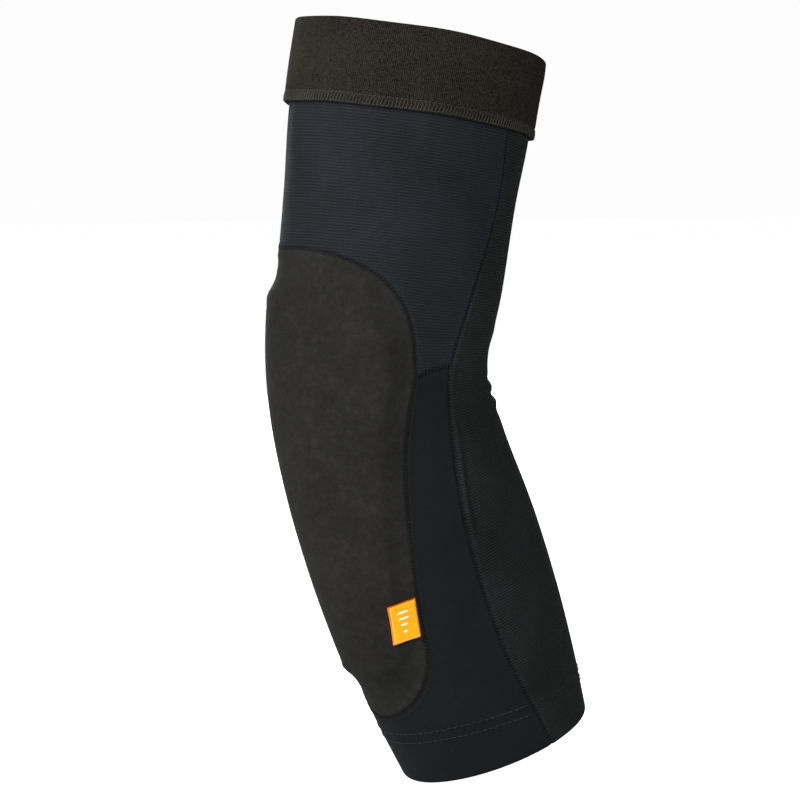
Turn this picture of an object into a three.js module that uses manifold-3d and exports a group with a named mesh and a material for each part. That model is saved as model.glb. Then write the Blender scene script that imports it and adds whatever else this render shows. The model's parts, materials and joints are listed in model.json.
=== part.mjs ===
// Elbow guard: a pre-curved knitted sleeve with a foam impact pad in a pocket over the elbow.
//
// Millimetres, +Z up. The origin is the middle of the sleeve at the elbow, the point that the arm
// bends about. The pad faces -X, the crook of the elbow faces +X and the side tag is on the outer
// side of the arm, -Y. The guard is drawn as it is worn, with the elbow slightly bent.
//
// Every place on the sleeve is given by two distances, as on a flat paper pattern: `across`, round
// the sleeve from the middle of the pad towards the tag, and `along`, down the sleeve's centre line
// from the elbow. A third number, `depth`, is the height above the sleeve's outer face.
import * as THREE from 'three';
import { mergeVertices } from 'three/addons/utils/BufferGeometryUtils.js';
import Module from 'manifold-3d';

const { lerp, smoothstep, degToRad } = THREE.MathUtils;
const wasm = await Module();
wasm.setup();

// ---------------------------------------------------------------- driving dimensions

// Centre line: straight upper arm, bend, straight forearm.
const UPPER_LENGTH = 139;        // elbow to the top edge of the cuff
const LOWER_LENGTH = 167;        // elbow to the bottom edge of the hem
const UPPER_LEAN = 7.2;          // degrees between the upper arm and the vertical
const FOREARM_LEAN = 21.6;       // degrees between the forearm and the vertical
const CUFF_LEAN = 3.5;           // degrees that the cuff leans further than the upper arm
const CUFF_LEAN_FROM = 64;       // above the elbow, where that further lean begins
const BEND_ABOVE = 40;           // the bend begins this far above the elbow
const BEND_BELOW = 64;           // and ends this far below it

// Girth: half the sleeve's depth, pad side to crook side, at stations down the centre line.
const GIRTH = [
  { along: -UPPER_LENGTH, half: 51.4 },
  { along: -101, half: 51.0 },
  { along: -73, half: 49.2 },
  { along: -8, half: 47.6 },
  { along: 32, half: 46.6 },
  { along: 78, half: 48.2 },
  { along: 114, half: 47.3 },
  { along: 142, half: 45.0 },
  { along: LOWER_LENGTH, half: 41.8 },
];
const ROUNDNESS = 0.93;          // width of the sleeve as a share of its depth
const PATTERN_RADIUS = 47;       // radius that turns a distance across into an angle
const CROOK_DIP = 7.8;           // how far the crook is drawn in
const CROOK_AT = -3;             // along, the middle of that dip
const CROOK_SPREAD = 22;

// Fabrics and clearances.
const PANEL = 1.2;               // thickness of the knitted panels
const COVER = 1.4;               // thickness of the hard-wearing pad cover
const LINING = 0.9;              // thickness of the mesh pocket lining
const CUFF_BAND = 2.2;           // thickness of the elastic cuff band
const HEM_FACING = 1.1;          // thickness of the turned-up hem
const SEAM_GAP = 0.4;            // between two panels that are sewn edge to edge
const LAYER_GAP = 0.5;           // between two layers that lie on each other
const TRIM_GAP = 0.3;            // between a trim piece and what it is fixed to
const SPLIT_GAP = 0.6;           // between the halves of a panel that crosses the elbow

// Cuff and hem.
const CUFF_HEIGHT = 34;
const CUFF_OVERLAP = 6;          // the cuff covers this much of the panels
const CUFF_BINDING = 4;          // width of the overlocked binding on the cuff's lower edge
const BINDING_THICK = 0.5;
const HEM_HEIGHT = 24;
const HEM_ROW_SPACING = 4.4;     // between the two rows of the hem's stitching
const HEM_STITCH_UP = 0.7;       // the upper row's distance from the top of the facing

// Silicone gripper strips inside both ends.
const STRIP_WIDTH = 3.6;
const STRIP_THICK = 0.6;
const STRIP_PITCH = 7;
const CUFF_STRIPS = 3;
const HEM_STRIPS = 2;
const STRIP_INSET = 3;           // first strip's distance from the edge of its end

// Pad cover outline: a squarish arch above the elbow, a taper and a round end below it.
const COVER_HALF = 63.8;         // half width at the elbow
const COVER_RISE = 46.5;         // height of the arch above the elbow
const COVER_SQUARENESS = 2.7;    // 2 is an ellipse, more is squarer
const COVER_TAPER_END = 103;     // along, the end of the taper
const COVER_END_HALF = 39;       // half width there
const COVER_TAPER_SAG = 1.9;     // how far the taper bows inwards
const COVER_END_LENGTH = 32;     // length of the round end

// Impact pad.
const PAD_THICK = 7;
const PAD_SIDE_INSET = 8;        // from the cover's seam, at the sides
const PAD_END_INSET = 14;        // from the cover's seam, at the top and bottom
const PAD_BULGE = 3.1;           // how far the pad lifts the cover above the sleeve
const BULGE_EDGE = 0.28;         // share of the cover, from its seam, over which it rises
const POCKET_EDGE = 0.1;         // share of the cover over which the pocket deepens
const VENT_RADIUS = 3;
const VENT_PITCH = 24;
const VENT_MARGIN = 6;           // from a vent's rim to the pad's edge

// Seams: the long seam borders the crook panel; the cross seam joins upper and forearm panels.
const LONG_SEAM = [
  { along: -UPPER_LENGTH, across: 94.0 },
  { along: -105, across: 95.6 },
  { along: -75, across: 98.0 },
  { along: -28, across: 86.8 },
  { along: 0, across: 79.2 },
  { along: 28, across: 77.6 },
  { along: 66, across: 71.2 },
  { along: 98, across: 69.4 },
  { along: 126, across: 71.0 },
  { along: LOWER_LENGTH, across: 80.3 },
];
const CROSS_SEAM_RISE = 4.5;     // the cross seam's rise from the cover to the long seam
const THREAD_RADIUS = 0.35;
const THREAD_CLEAR = 0.8;        // between the ends of two seam threads

// Side tag, a loop of folded tape in the cover's seam.
const TAG_WIDTH = 11;
const TAG_HEIGHT = 16.5;
const TAG_TOP = 83;              // along, the tag's upper edge
const TAG_TAPE = 0.45;           // thickness of the tape
const TAG_FOLD_GAP = 0.35;       // between the two halves of the loop
const TAG_ROOT = 1.3;            // from the seam line to the tag's sewn edge

// Mesh fineness.
const CELL_ACROSS = 7;           // longest side of a panel's facets, round the sleeve
const CELL_ALONG = 12;           // and down it
const CELL_ARCH = 5.6;           // round the sleeve in the upper panel, which follows the arch
const FOREARM_COLUMNS = 60;      // facets along the forearm panel's U
const FOREARM_ROWS = 4;          // and across it
const CROOK_COLUMNS = 16;
const RING_SIDES = 40;
const RING_ROWS = 3;             // rows of facets in the cuff band and the hem facing
const THREAD_SIDES = 6;
const VENT_SIDES = 6;
const TAG_STEPS = 3;             // facets down the tag, and round a quarter of its fold
const CENTRE_STEPS = 48;         // steps in which the centre line is followed

// ---------------------------------------------------------------- the sleeve's surface

const cuffBottom = -UPPER_LENGTH + CUFF_HEIGHT;
const panelTop = cuffBottom - CUFF_OVERLAP;
const hemTop = LOWER_LENGTH - HEM_HEIGHT;
const halfGirth = PATTERN_RADIUS * Math.PI;
const coverEnd = COVER_TAPER_END + COVER_END_LENGTH;

// A smooth curve through the values of `key` at the stations in `rows`.
function stations(rows, key) {
  const places = rows.map((row) => row.along);
  const curve = new THREE.CubicInterpolant(places, rows.map((row) => row[key]), 1);
  const first = places[0];
  const last = places[places.length - 1];
  return (along) => curve.evaluate(Math.min(Math.max(along, first), last))[0];
}
const halfDepth = stations(GIRTH, 'half');
const longSeam = stations(LONG_SEAM, 'across');

// Angle of the centre line from straight down, positive when the sleeve runs towards +X.
function leanAt(along) {
  const bend = smoothstep(along, -BEND_ABOVE, BEND_BELOW);
  const cuff = 1 - smoothstep(along, -UPPER_LENGTH, -CUFF_LEAN_FROM);
  return degToRad(lerp(-UPPER_LEAN, FOREARM_LEAN, bend) - CUFF_LEAN * cuff);
}

// The centre line's point at a distance along it from the elbow.
function centreAt(along) {
  const step = along / CENTRE_STEPS;
  const centre = new THREE.Vector3();
  for (let i = 0; i < CENTRE_STEPS; i += 1) {
    const lean = leanAt((i + 0.5) * step);
    centre.x += Math.sin(lean) * step;
    centre.z -= Math.cos(lean) * step;
  }
  return centre;
}

// The point of the guard at a place on the pattern and a height above the sleeve's outer face.
function skinPoint(across, along, depth) {
  const angle = across / PATTERN_RADIUS;
  const deep = halfDepth(along);
  const fold = Math.exp(-(((along - CROOK_AT) / CROOK_SPREAD) ** 2));
  const dip = CROOK_DIP * fold * Math.max(0, -Math.cos(angle)) ** 2;
  const outwards = -(deep - dip + depth) * Math.cos(angle);
  const sideways = -(deep * ROUNDNESS + depth) * Math.sin(angle);
  const lean = leanAt(along);
  const centre = centreAt(along);
  return new THREE.Vector3(
    centre.x + outwards * Math.cos(lean),
    sideways,
    centre.z + outwards * Math.sin(lean),
  );
}

// ---------------------------------------------------------------- pattern outlines

// The cover's upper edge, from one side at -1 over the top at 0 to the other side at 1, drawn out
// by `wider` at the sides and `taller` at the top.
function coverArch(place, wider = 0, taller = wider) {
  const turn = (place * Math.PI) / 2;
  const power = 2 / COVER_SQUARENESS;
  const across = (COVER_HALF + wider) * Math.sign(turn) * Math.abs(Math.sin(turn)) ** power;
  const along = -(COVER_RISE + taller) * Math.abs(Math.cos(turn)) ** power;
  return new THREE.Vector2(across, along);
}

function coverHalf(along) {
  const share = Math.min(Math.max(along / COVER_TAPER_END, 0), 1);
  const bow = 4 * COVER_TAPER_SAG * share * (1 - share);
  return lerp(COVER_HALF, COVER_END_HALF, share) - bow;
}

// The cover's round lower end, from one side at -1 through its tip at 0 to the other side at 1.
function coverTip(place, wider = 0, longer = wider) {
  const turn = (place * Math.PI) / 2;
  const across = (COVER_END_HALF + wider) * Math.sin(turn);
  return new THREE.Vector2(across, COVER_TAPER_END + (COVER_END_LENGTH + longer) * Math.cos(turn));
}

// The cover's edge below the elbow on one side: the taper to `corner`, then the start of the tip.
function coverSide(share, side, corner, wider = 0, longer = wider) {
  if (share <= corner.share) {
    const along = lerp(corner.start, COVER_TAPER_END, share / corner.share);
    return new THREE.Vector2(side * (coverHalf(along) + wider), along);
  }
  const rest = (share - corner.share) / (1 - corner.share);
  return coverTip(side * lerp(1, corner.tip, rest), wider, longer);
}

// 0 in the middle of the cover, 1 at its seam.
function coverMeasure(across, along) {
  const wide = Math.abs(across);
  if (along < 0) {
    const n = COVER_SQUARENESS;
    return ((wide / COVER_HALF) ** n + (-along / COVER_RISE) ** n) ** (1 / n);
  }
  if (along <= COVER_TAPER_END) return wide / coverHalf(along);
  return Math.hypot(wide / COVER_END_HALF, (along - COVER_TAPER_END) / COVER_END_LENGTH);
}

// How far the pad lifts the cover above the sleeve.
function bulge(across, along) {
  return PAD_BULGE * smoothstep(1 - coverMeasure(across, along), 0, BULGE_EDGE);
}

function padTop(across, along) {
  return bulge(across, along) - COVER - LAYER_GAP;
}

function liningTop(across, along) {
  const pocket = smoothstep(1 - coverMeasure(across, along), 0, POCKET_EDGE);
  return padTop(across, along) - LAYER_GAP - PAD_THICK * pocket;
}

// The cross seam on one side, from the cover at 0 to the long seam at 1.
function crossSeam(share, side, lower, inner, outer) {
  const rise = CROSS_SEAM_RISE * (1 - (1 - share) ** 2);
  const across = lerp(COVER_HALF + inner, longSeam(-CROSS_SEAM_RISE) + outer, share);
  return new THREE.Vector2(side * across, lower - rise);
}

// ---------------------------------------------------------------- solids

const parts = new THREE.Group();

function material(color, roughness, metalness = 0) {
  return new THREE.MeshStandardMaterial({ color, roughness, metalness });
}

const FINISH = {
  upperKnit: () => material(0x292d32, 0.78),
  forearmKnit: () => material(0x1b1b1b, 0.8),
  crookKnit: () => material(0x202320, 0.82),
  cover: () => material(0x353431, 0.88),
  lining: () => material(0x24272a, 0.85),
  cuff: () => material(0x2f2d29, 0.92),
  foam: () => material(0xe8731a, 0.7),
  silicone: () => material(0x3a3f45, 0.45),
  thread: () => material(0x17181a, 0.6),
  facing: () => material(0x212325, 0.85),
  tag: () => material(0xff9e00, 0.5),
};

// Joins the shared vertices of a closed shape and turns its faces outwards.
function closedBody(geometry) {
  const bare = new THREE.BufferGeometry();
  bare.setAttribute('position', geometry.getAttribute('position'));
  if (geometry.index) bare.setIndex(geometry.index);
  const merged = mergeVertices(bare, 1e-4);
  const index = Array.from(merged.index.array);
  const position = merged.getAttribute('position');
  const corner = [new THREE.Vector3(), new THREE.Vector3(), new THREE.Vector3()];
  let volume = 0;
  const faces = [];
  for (let i = 0; i < index.length; i += 3) {
    const face = index.slice(i, i + 3);
    if (new Set(face).size === 3) {
      corner.forEach((vertex, k) => vertex.fromBufferAttribute(position, face[k]));
      volume += corner[0].dot(corner[1].clone().cross(corner[2]));
      faces.push(face);
    }
  }
  const outward = volume > 0 ? faces : faces.map(([a, b, c]) => [a, c, b]);
  merged.setIndex(outward.flat());
  merged.computeVertexNormals();
  return merged;
}

function add(name, geometry, finish) {
  const mesh = new THREE.Mesh(closedBody(geometry), finish);
  mesh.name = name;
  parts.add(mesh);
  return mesh;
}

// Moves every vertex of a geometry by a function of its old place.
function bend(geometry, place) {
  const position = geometry.getAttribute('position');
  const old = new THREE.Vector3();
  for (let i = 0; i < position.count; i += 1) {
    const point = place(old.fromBufferAttribute(position, i));
    position.setXYZ(i, point.x, point.y, point.z);
  }
  return geometry;
}

// The patch of the pattern between four edges: top and bottom run from left to right, left and
// right run from top to bottom.
function patch(top, bottom, left, right) {
  return (u, v) => {
    const ruled = top(u).clone().lerp(bottom(u), v).add(left(v).clone().lerp(right(v), u));
    const flat = top(0).clone().lerp(bottom(0), v).lerp(top(1).clone().lerp(bottom(1), v), u);
    return ruled.sub(flat);
  };
}

// A piece of fabric: a thin box of `columns` by `rows` cells, laid on the sleeve over a patch.
function fabric(shape, columns, rows, outer, inner) {
  return bend(new THREE.BoxGeometry(1, 1, 1, columns, rows, 1), ({ x, y, z }) => {
    const { x: across, y: along } = shape(x + 0.5, 0.5 - y);
    return skinPoint(across, along, z > 0 ? outer(across, along) : inner(across, along));
  });
}

// A knitted panel, whose outer face is the sleeve's.
function panel(shape, columns, rows, thickness = PANEL) {
  return fabric(shape, columns, rows, () => 0, () => -thickness);
}

// A band right round the sleeve between two distances along it and two depths.
function ring(from, to, inner, outer, rows = 1) {
  const side = (x) => Array.from({ length: rows + 1 }, (_, i) => new THREE.Vector2(x, i / rows));
  const profile = [...side(1), ...side(2).reverse(), new THREE.Vector2(1, 0)];
  return bend(new THREE.LatheGeometry(profile, RING_SIDES), ({ x, y, z }) => {
    const depth = Math.hypot(x, z) < 1.5 ? inner : outer;
    return skinPoint(Math.atan2(x, z) * PATTERN_RADIUS, lerp(from, to, y), depth);
  });
}

// A seam's thread: a thin round tube over a line of the pattern.
function thread(line, length, cell) {
  const steps = cells(length, cell);
  const points = Array.from({ length: steps + 1 }, (_, i) => {
    const { x, y } = line(i / steps);
    return skinPoint(x, y, TRIM_GAP + THREAD_RADIUS);
  });
  const section = new THREE.Shape();
  section.absarc(0, 0, THREAD_RADIUS, 0, 2 * Math.PI);
  const extrudePath = new THREE.CatmullRomCurve3(points);
  return new THREE.ExtrudeGeometry(section, { steps, curveSegments: THREAD_SIDES / 2, extrudePath });
}

function solidOf(geometry) {
  const merged = closedBody(geometry);
  return new wasm.Manifold(new wasm.Mesh({
    numProp: 3,
    vertProperties: Float32Array.from(merged.getAttribute('position').array),
    triVerts: Uint32Array.from(merged.index.array),
  }));
}

function geometryOf(solid) {
  const mesh = solid.getMesh();
  const geometry = new THREE.BufferGeometry();
  geometry.setAttribute('position', new THREE.BufferAttribute(mesh.vertProperties, mesh.numProp));
  geometry.setIndex(new THREE.BufferAttribute(mesh.triVerts, 1));
  return geometry;
}

const cells = (length, size) => Math.max(1, Math.round(length / size));
const halfGap = SEAM_GAP / 2;
const sides = [{ name: 'outer', sign: 1 }, { name: 'inner', sign: -1 }];

// ---------------------------------------------------------------- cuff

function addCuff() {
  const under = TRIM_GAP;
  const over = under + CUFF_BAND;
  add('cuff_band', ring(-UPPER_LENGTH, cuffBottom, under, over, RING_ROWS), FINISH.cuff());
  const binding = ring(
    cuffBottom - CUFF_BINDING, cuffBottom, over + TRIM_GAP, over + TRIM_GAP + BINDING_THICK,
  );
  add('cuff_binding_thread', binding, FINISH.thread());
  for (let i = 0; i < CUFF_STRIPS; i += 1) {
    const from = -UPPER_LENGTH + STRIP_INSET + i * STRIP_PITCH;
    const top = under - TRIM_GAP;
    const strip = ring(from, from + STRIP_WIDTH, top - STRIP_THICK, top);
    add(`cuff_gripper_strip_${i + 1}`, strip, FINISH.silicone());
  }
}

// ---------------------------------------------------------------- panels

// The upper panel's lower edge: cross seam, cover arch, cross seam. The cross seams take this
// share of it each.
const CROSS_SHARE = 0.14;

function upperPanelFoot(u) {
  const past = u - 1 + CROSS_SHARE;
  if (u < CROSS_SHARE) return crossSeam(1 - u / CROSS_SHARE, -1, -halfGap, halfGap, -halfGap);
  if (past > 0) return crossSeam(past / CROSS_SHARE, 1, -halfGap, halfGap, -halfGap);
  const arch = lerp(-1, 1, (u - CROSS_SHARE) / (1 - 2 * CROSS_SHARE));
  const point = coverArch(arch, halfGap);
  return point.setY(Math.min(point.y, -halfGap));
}

function addUpperPanel() {
  const foot = upperPanelFoot(1).y;
  const edge = (v, side) => {
    const along = lerp(panelTop, foot, v);
    return new THREE.Vector2(side * (longSeam(along) - halfGap), along);
  };
  const head = (u) => new THREE.Vector2(lerp(edge(0, -1).x, edge(0, 1).x, u), panelTop);
  const shape = patch(head, upperPanelFoot, (v) => edge(v, -1), (v) => edge(v, 1));
  const columns = cells(2 * longSeam(0), CELL_ARCH);
  const rows = cells(foot - panelTop, CELL_ALONG);
  add('upper_arm_panel', panel(shape, columns, rows), FINISH.upperKnit());
}

// The forearm panel is a U: its inner edge follows the cover, its outer edge the long seams and
// the hem. Both edges turn their corners at the same share of their length.
const U_CORNER = 0.32;

function forearmInnerEdge(u) {
  const corner = { start: halfGap, share: 1, tip: 1 };
  if (u < U_CORNER) return coverSide(u / U_CORNER, 1, corner, halfGap);
  if (u > 1 - U_CORNER) return coverSide((1 - u) / U_CORNER, -1, corner, halfGap);
  return coverTip(lerp(1, -1, (u - U_CORNER) / (1 - 2 * U_CORNER)), halfGap);
}

function forearmOuterEdge(u) {
  const head = halfGap - CROSS_SEAM_RISE;
  const edge = (share, side) => {
    const along = lerp(head, LOWER_LENGTH, share);
    return new THREE.Vector2(side * (longSeam(along) - halfGap), along);
  };
  if (u < U_CORNER) return edge(u / U_CORNER, 1);
  if (u > 1 - U_CORNER) return edge((1 - u) / U_CORNER, -1);
  return edge(1, 1).lerp(edge(1, -1), (u - U_CORNER) / (1 - 2 * U_CORNER));
}

function addForearmPanel() {
  const head = (v, side) => crossSeam(v, side, halfGap, halfGap, -halfGap);
  const shape = patch(
    (u) => forearmOuterEdge(1 - u), (u) => forearmInnerEdge(1 - u),
    (v) => head(1 - v, -1), (v) => head(1 - v, 1),
  );
  add('forearm_panel', panel(shape, FOREARM_COLUMNS, FOREARM_ROWS), FINISH.forearmKnit());
}

function addCrookPanel(name, from, to) {
  const edge = (v, side) => {
    const along = lerp(from, to, v);
    const across = longSeam(along) + halfGap;
    return new THREE.Vector2(side > 0 ? 2 * halfGirth - across : across, along);
  };
  const row = (v) => (u) => edge(v, -1).lerp(edge(v, 1), u);
  const shape = patch(row(0), row(1), (v) => edge(v, -1), (v) => edge(v, 1));
  const rows = cells(to - from, CELL_ALONG);
  add(name, panel(shape, CROOK_COLUMNS, rows), FINISH.crookKnit());
}

// ---------------------------------------------------------------- pad, cover and lining

const SHOULDER = 0.55;           // where the arch turns from a side into the top of a patch
const HEEL = { share: 0.82, tip: 0.5 };   // where the sides of a patch turn into its round end

// The part of the cover's shape above the elbow, drawn in by `side` and `end`.
function upperPadShape(side, end) {
  const foot = -SPLIT_GAP / 2;
  const edge = (place) => {
    const point = coverArch(place, -side, -end);
    return point.setY(Math.min(point.y, foot));
  };
  const head = (u) => edge(lerp(-SHOULDER, SHOULDER, u));
  const base = (u) => new THREE.Vector2(lerp(edge(-1).x, edge(1).x, u), foot);
  const left = (v) => edge(lerp(-SHOULDER, -1, v));
  const right = (v) => edge(lerp(SHOULDER, 1, v));
  return patch(head, base, left, right);
}

// The part below the elbow.
function lowerPadShape(side, end) {
  const corner = { start: SPLIT_GAP / 2, ...HEEL };
  const edge = (v, sign) => coverSide(v, sign, corner, -side, -end);
  const head = (u) => edge(0, -1).lerp(edge(0, 1), u);
  const tip = (u) => coverTip(lerp(-HEEL.tip, HEEL.tip, u), -side, -end);
  return patch(head, tip, (v) => edge(v, -1), (v) => edge(v, 1));
}

// Centres of the round vents through the pad: a staggered grid, wherever the whole vent fits.
function ventPlaces(from, to) {
  const places = [];
  const rowPitch = VENT_PITCH * Math.sin(Math.PI / 3);
  const margin = VENT_RADIUS + VENT_MARGIN;
  const rows = Math.floor((to - from - 2 * margin) / rowPitch);
  const columns = Math.ceil(COVER_HALF / VENT_PITCH);
  const first = (from + to - rows * rowPitch) / 2;
  for (let row = 0; row <= rows; row += 1) {
    const along = first + row * rowPitch;
    const shift = row % 2 ? VENT_PITCH / 2 : 0;
    for (let column = -columns; column <= columns; column += 1) {
      const across = column * VENT_PITCH + shift;
      const reach = Math.abs(across) + margin + PAD_SIDE_INSET;
      if (coverMeasure(reach, along) < 1) places.push({ across, along });
    }
  }
  return places;
}

// The solid that is cut away for one vent, well longer than the pad is thick.
function vent({ across, along }) {
  const long = 4 * PAD_THICK;
  const point = skinPoint(across, along, -PAD_THICK / 2);
  const outwards = skinPoint(across, along, PAD_THICK).sub(point).normalize();
  const turn = new THREE.Quaternion().setFromUnitVectors(new THREE.Vector3(0, 1, 0), outwards);
  const drill = new THREE.CylinderGeometry(VENT_RADIUS, VENT_RADIUS, long, VENT_SIDES);
  return drill.applyQuaternion(turn).translate(point.x, point.y, point.z);
}

function addPadHalf(name, shape, columns, rows, from, to) {
  const under = (across, along) => padTop(across, along) - PAD_THICK;
  let solid = solidOf(fabric(shape, columns, rows, padTop, under));
  for (const place of ventPlaces(from, to)) {
    solid = solid.subtract(solidOf(vent(place)));
  }
  add(name, geometryOf(solid), FINISH.foam());
}

function addPadPocket() {
  const cover = (across, along) => bulge(across, along) - COVER;
  const lining = (across, along) => liningTop(across, along) - LINING;
  const upper = upperPadShape(halfGap, halfGap);
  const lower = lowerPadShape(halfGap, halfGap);
  const columns = cells(2 * COVER_HALF, CELL_ACROSS);
  const upperRows = cells(COVER_RISE, CELL_ACROSS);
  const lowerRows = cells(coverEnd, CELL_ALONG);
  add('pad_cover_upper', fabric(upper, columns, upperRows, bulge, cover), FINISH.cover());
  add('pad_cover_lower', fabric(lower, columns, lowerRows, bulge, cover), FINISH.cover());
  const pocketUpper = fabric(upper, columns, upperRows, liningTop, lining);
  const pocketLower = fabric(lower, columns, lowerRows, liningTop, lining);
  add('pocket_lining_upper', pocketUpper, FINISH.lining());
  add('pocket_lining_lower', pocketLower, FINISH.lining());
  const upperPad = upperPadShape(PAD_SIDE_INSET, PAD_END_INSET);
  const lowerPad = lowerPadShape(PAD_SIDE_INSET, PAD_END_INSET);
  const padHead = -(COVER_RISE - PAD_END_INSET);
  const padFoot = coverEnd - PAD_END_INSET;
  const padColumns = cells(2 * (COVER_HALF - PAD_SIDE_INSET), CELL_ACROSS);
  addPadHalf('impact_pad_upper', upperPad, padColumns, cells(-padHead, CELL_ACROSS), padHead, 0);
  addPadHalf('impact_pad_lower', lowerPad, padColumns, cells(padFoot, CELL_ALONG), 0, padFoot);
}

// ---------------------------------------------------------------- hem

function addHem() {
  const outer = -PANEL - LAYER_GAP;
  const inner = outer - HEM_FACING;
  add('hem_facing', ring(hemTop, LOWER_LENGTH, inner, outer, RING_ROWS), FINISH.facing());
  for (let i = 0; i < HEM_STRIPS; i += 1) {
    const to = LOWER_LENGTH - STRIP_INSET - i * STRIP_PITCH;
    const top = inner - TRIM_GAP;
    const strip = ring(to - STRIP_WIDTH, to, top - STRIP_THICK, top);
    add(`hem_gripper_strip_${i + 1}`, strip, FINISH.silicone());
  }
  ['upper', 'lower'].forEach((row, i) => {
    const from = hemTop + HEM_STITCH_UP + i * HEM_ROW_SPACING;
    const stitch = ring(from, from + 2 * THREAD_RADIUS, TRIM_GAP, TRIM_GAP + 2 * THREAD_RADIUS);
    add(`hem_stitch_thread_${row}`, stitch, FINISH.thread());
  });
}

// ---------------------------------------------------------------- seam threads

const TAPER_SHARE = 0.7;         // share of the cover's seam, on one side, that the taper takes

function addSeamThreads() {
  const split = SPLIT_GAP / 2;
  const arch = (share) => {
    const point = coverArch(lerp(-1, 1, share));
    return point.setY(Math.min(point.y, -split));
  };
  add('cover_seam_thread_upper', thread(arch, 4 * COVER_RISE, CELL_ACROSS), FINISH.thread());
  const around = (share) => {
    const corner = { start: split, share: TAPER_SHARE, tip: 0 };
    if (share < 0.5) return coverSide(2 * share, 1, corner);
    return coverSide(2 - 2 * share, -1, corner);
  };
  add('cover_seam_thread_lower', thread(around, 2 * coverEnd, CELL_ACROSS), FINISH.thread());
  const reach = THREAD_CLEAR + 2 * THREAD_RADIUS;
  for (const { name, sign } of sides) {
    const seam = (from, to) => (share) => {
      const along = lerp(from, to, share);
      return new THREE.Vector2(sign * longSeam(along), along);
    };
    const top = cuffBottom + reach;
    const middle = -CROSS_SEAM_RISE;
    const bottom = hemTop + HEM_STITCH_UP - THREAD_CLEAR;
    const upper = thread(seam(top, middle - split), middle - top, CELL_ALONG);
    const lower = thread(seam(middle + split, bottom), bottom - middle, CELL_ALONG);
    add(`long_seam_thread_${name}_upper`, upper, FINISH.thread());
    add(`long_seam_thread_${name}_lower`, lower, FINISH.thread());
    const cross = (share) => crossSeam(share, sign, 0, reach, -reach);
    const width = longSeam(middle) - COVER_HALF;
    add(`cross_seam_thread_${name}`, thread(cross, width, CELL_ACROSS), FINISH.thread());
  }
}

// ---------------------------------------------------------------- side tag

// A loop of tape: a long U whose open end is caught in the seam and whose fold hangs free. It
// lies on the bulging cover, so it is drawn flat and then bent over it.
function tagLoop() {
  const outer = TAG_TAPE + TAG_FOLD_GAP / 2;
  const inner = TAG_FOLD_GAP / 2;
  const turn = TAG_WIDTH - outer;
  const steps = cells(2 * TAG_WIDTH, CELL_ACROSS);
  const loop = new THREE.Shape();
  const run = (from, to, y) => {
    for (let i = 0; i <= steps; i += 1) loop.lineTo(lerp(from, to, i / steps), y);
  };
  loop.moveTo(0, -outer);
  run(0, turn, -outer);
  loop.absarc(turn, 0, outer, -Math.PI / 2, Math.PI / 2, false);
  run(turn, 0, outer);
  run(0, turn, inner);
  loop.absarc(turn, 0, inner, Math.PI / 2, -Math.PI / 2, true);
  run(turn, 0, -inner);
  const options = { depth: TAG_HEIGHT, steps: TAG_STEPS, curveSegments: TAG_STEPS };
  return new THREE.ExtrudeGeometry(loop, { ...options, bevelEnabled: false });
}

function addTag() {
  const lift = TRIM_GAP + TAG_TAPE + TAG_FOLD_GAP / 2;
  const loop = bend(tagLoop(), ({ x, y, z }) => {
    const along = TAG_TOP + z;
    const across = coverHalf(along) - TAG_ROOT - x;
    return skinPoint(across, along, bulge(across, along) + lift + y);
  });
  add('side_tag', loop, FINISH.tag());
}

// ---------------------------------------------------------------- assembly

addCuff();
addUpperPanel();
addCrookPanel('crook_panel_upper', panelTop, -CROSS_SEAM_RISE - SPLIT_GAP / 2);
addPadPocket();
addForearmPanel();
addCrookPanel('crook_panel_lower', -CROSS_SEAM_RISE + SPLIT_GAP / 2, LOWER_LENGTH);
addHem();
addSeamThreads();
addTag();

export default parts;
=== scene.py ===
"""Dresses the elbow guard: knitted panels, a pad under its cover, seams, cuff, hem and tag.

Places on the sleeve are given on its flat pattern, in millimetres: `across` runs round the sleeve
from the middle of the pad towards the tag, `along` runs down the centre line from the elbow, and
`depth` is the height above the sleeve's outer face. Meshes are in metres.
"""
import json
import logging
import math
from dataclasses import dataclass, field
from enum import Enum
from typing import Any, Callable, Sequence

import bpy
import numpy as np
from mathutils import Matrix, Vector
from mathutils.kdtree import KDTree


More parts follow.
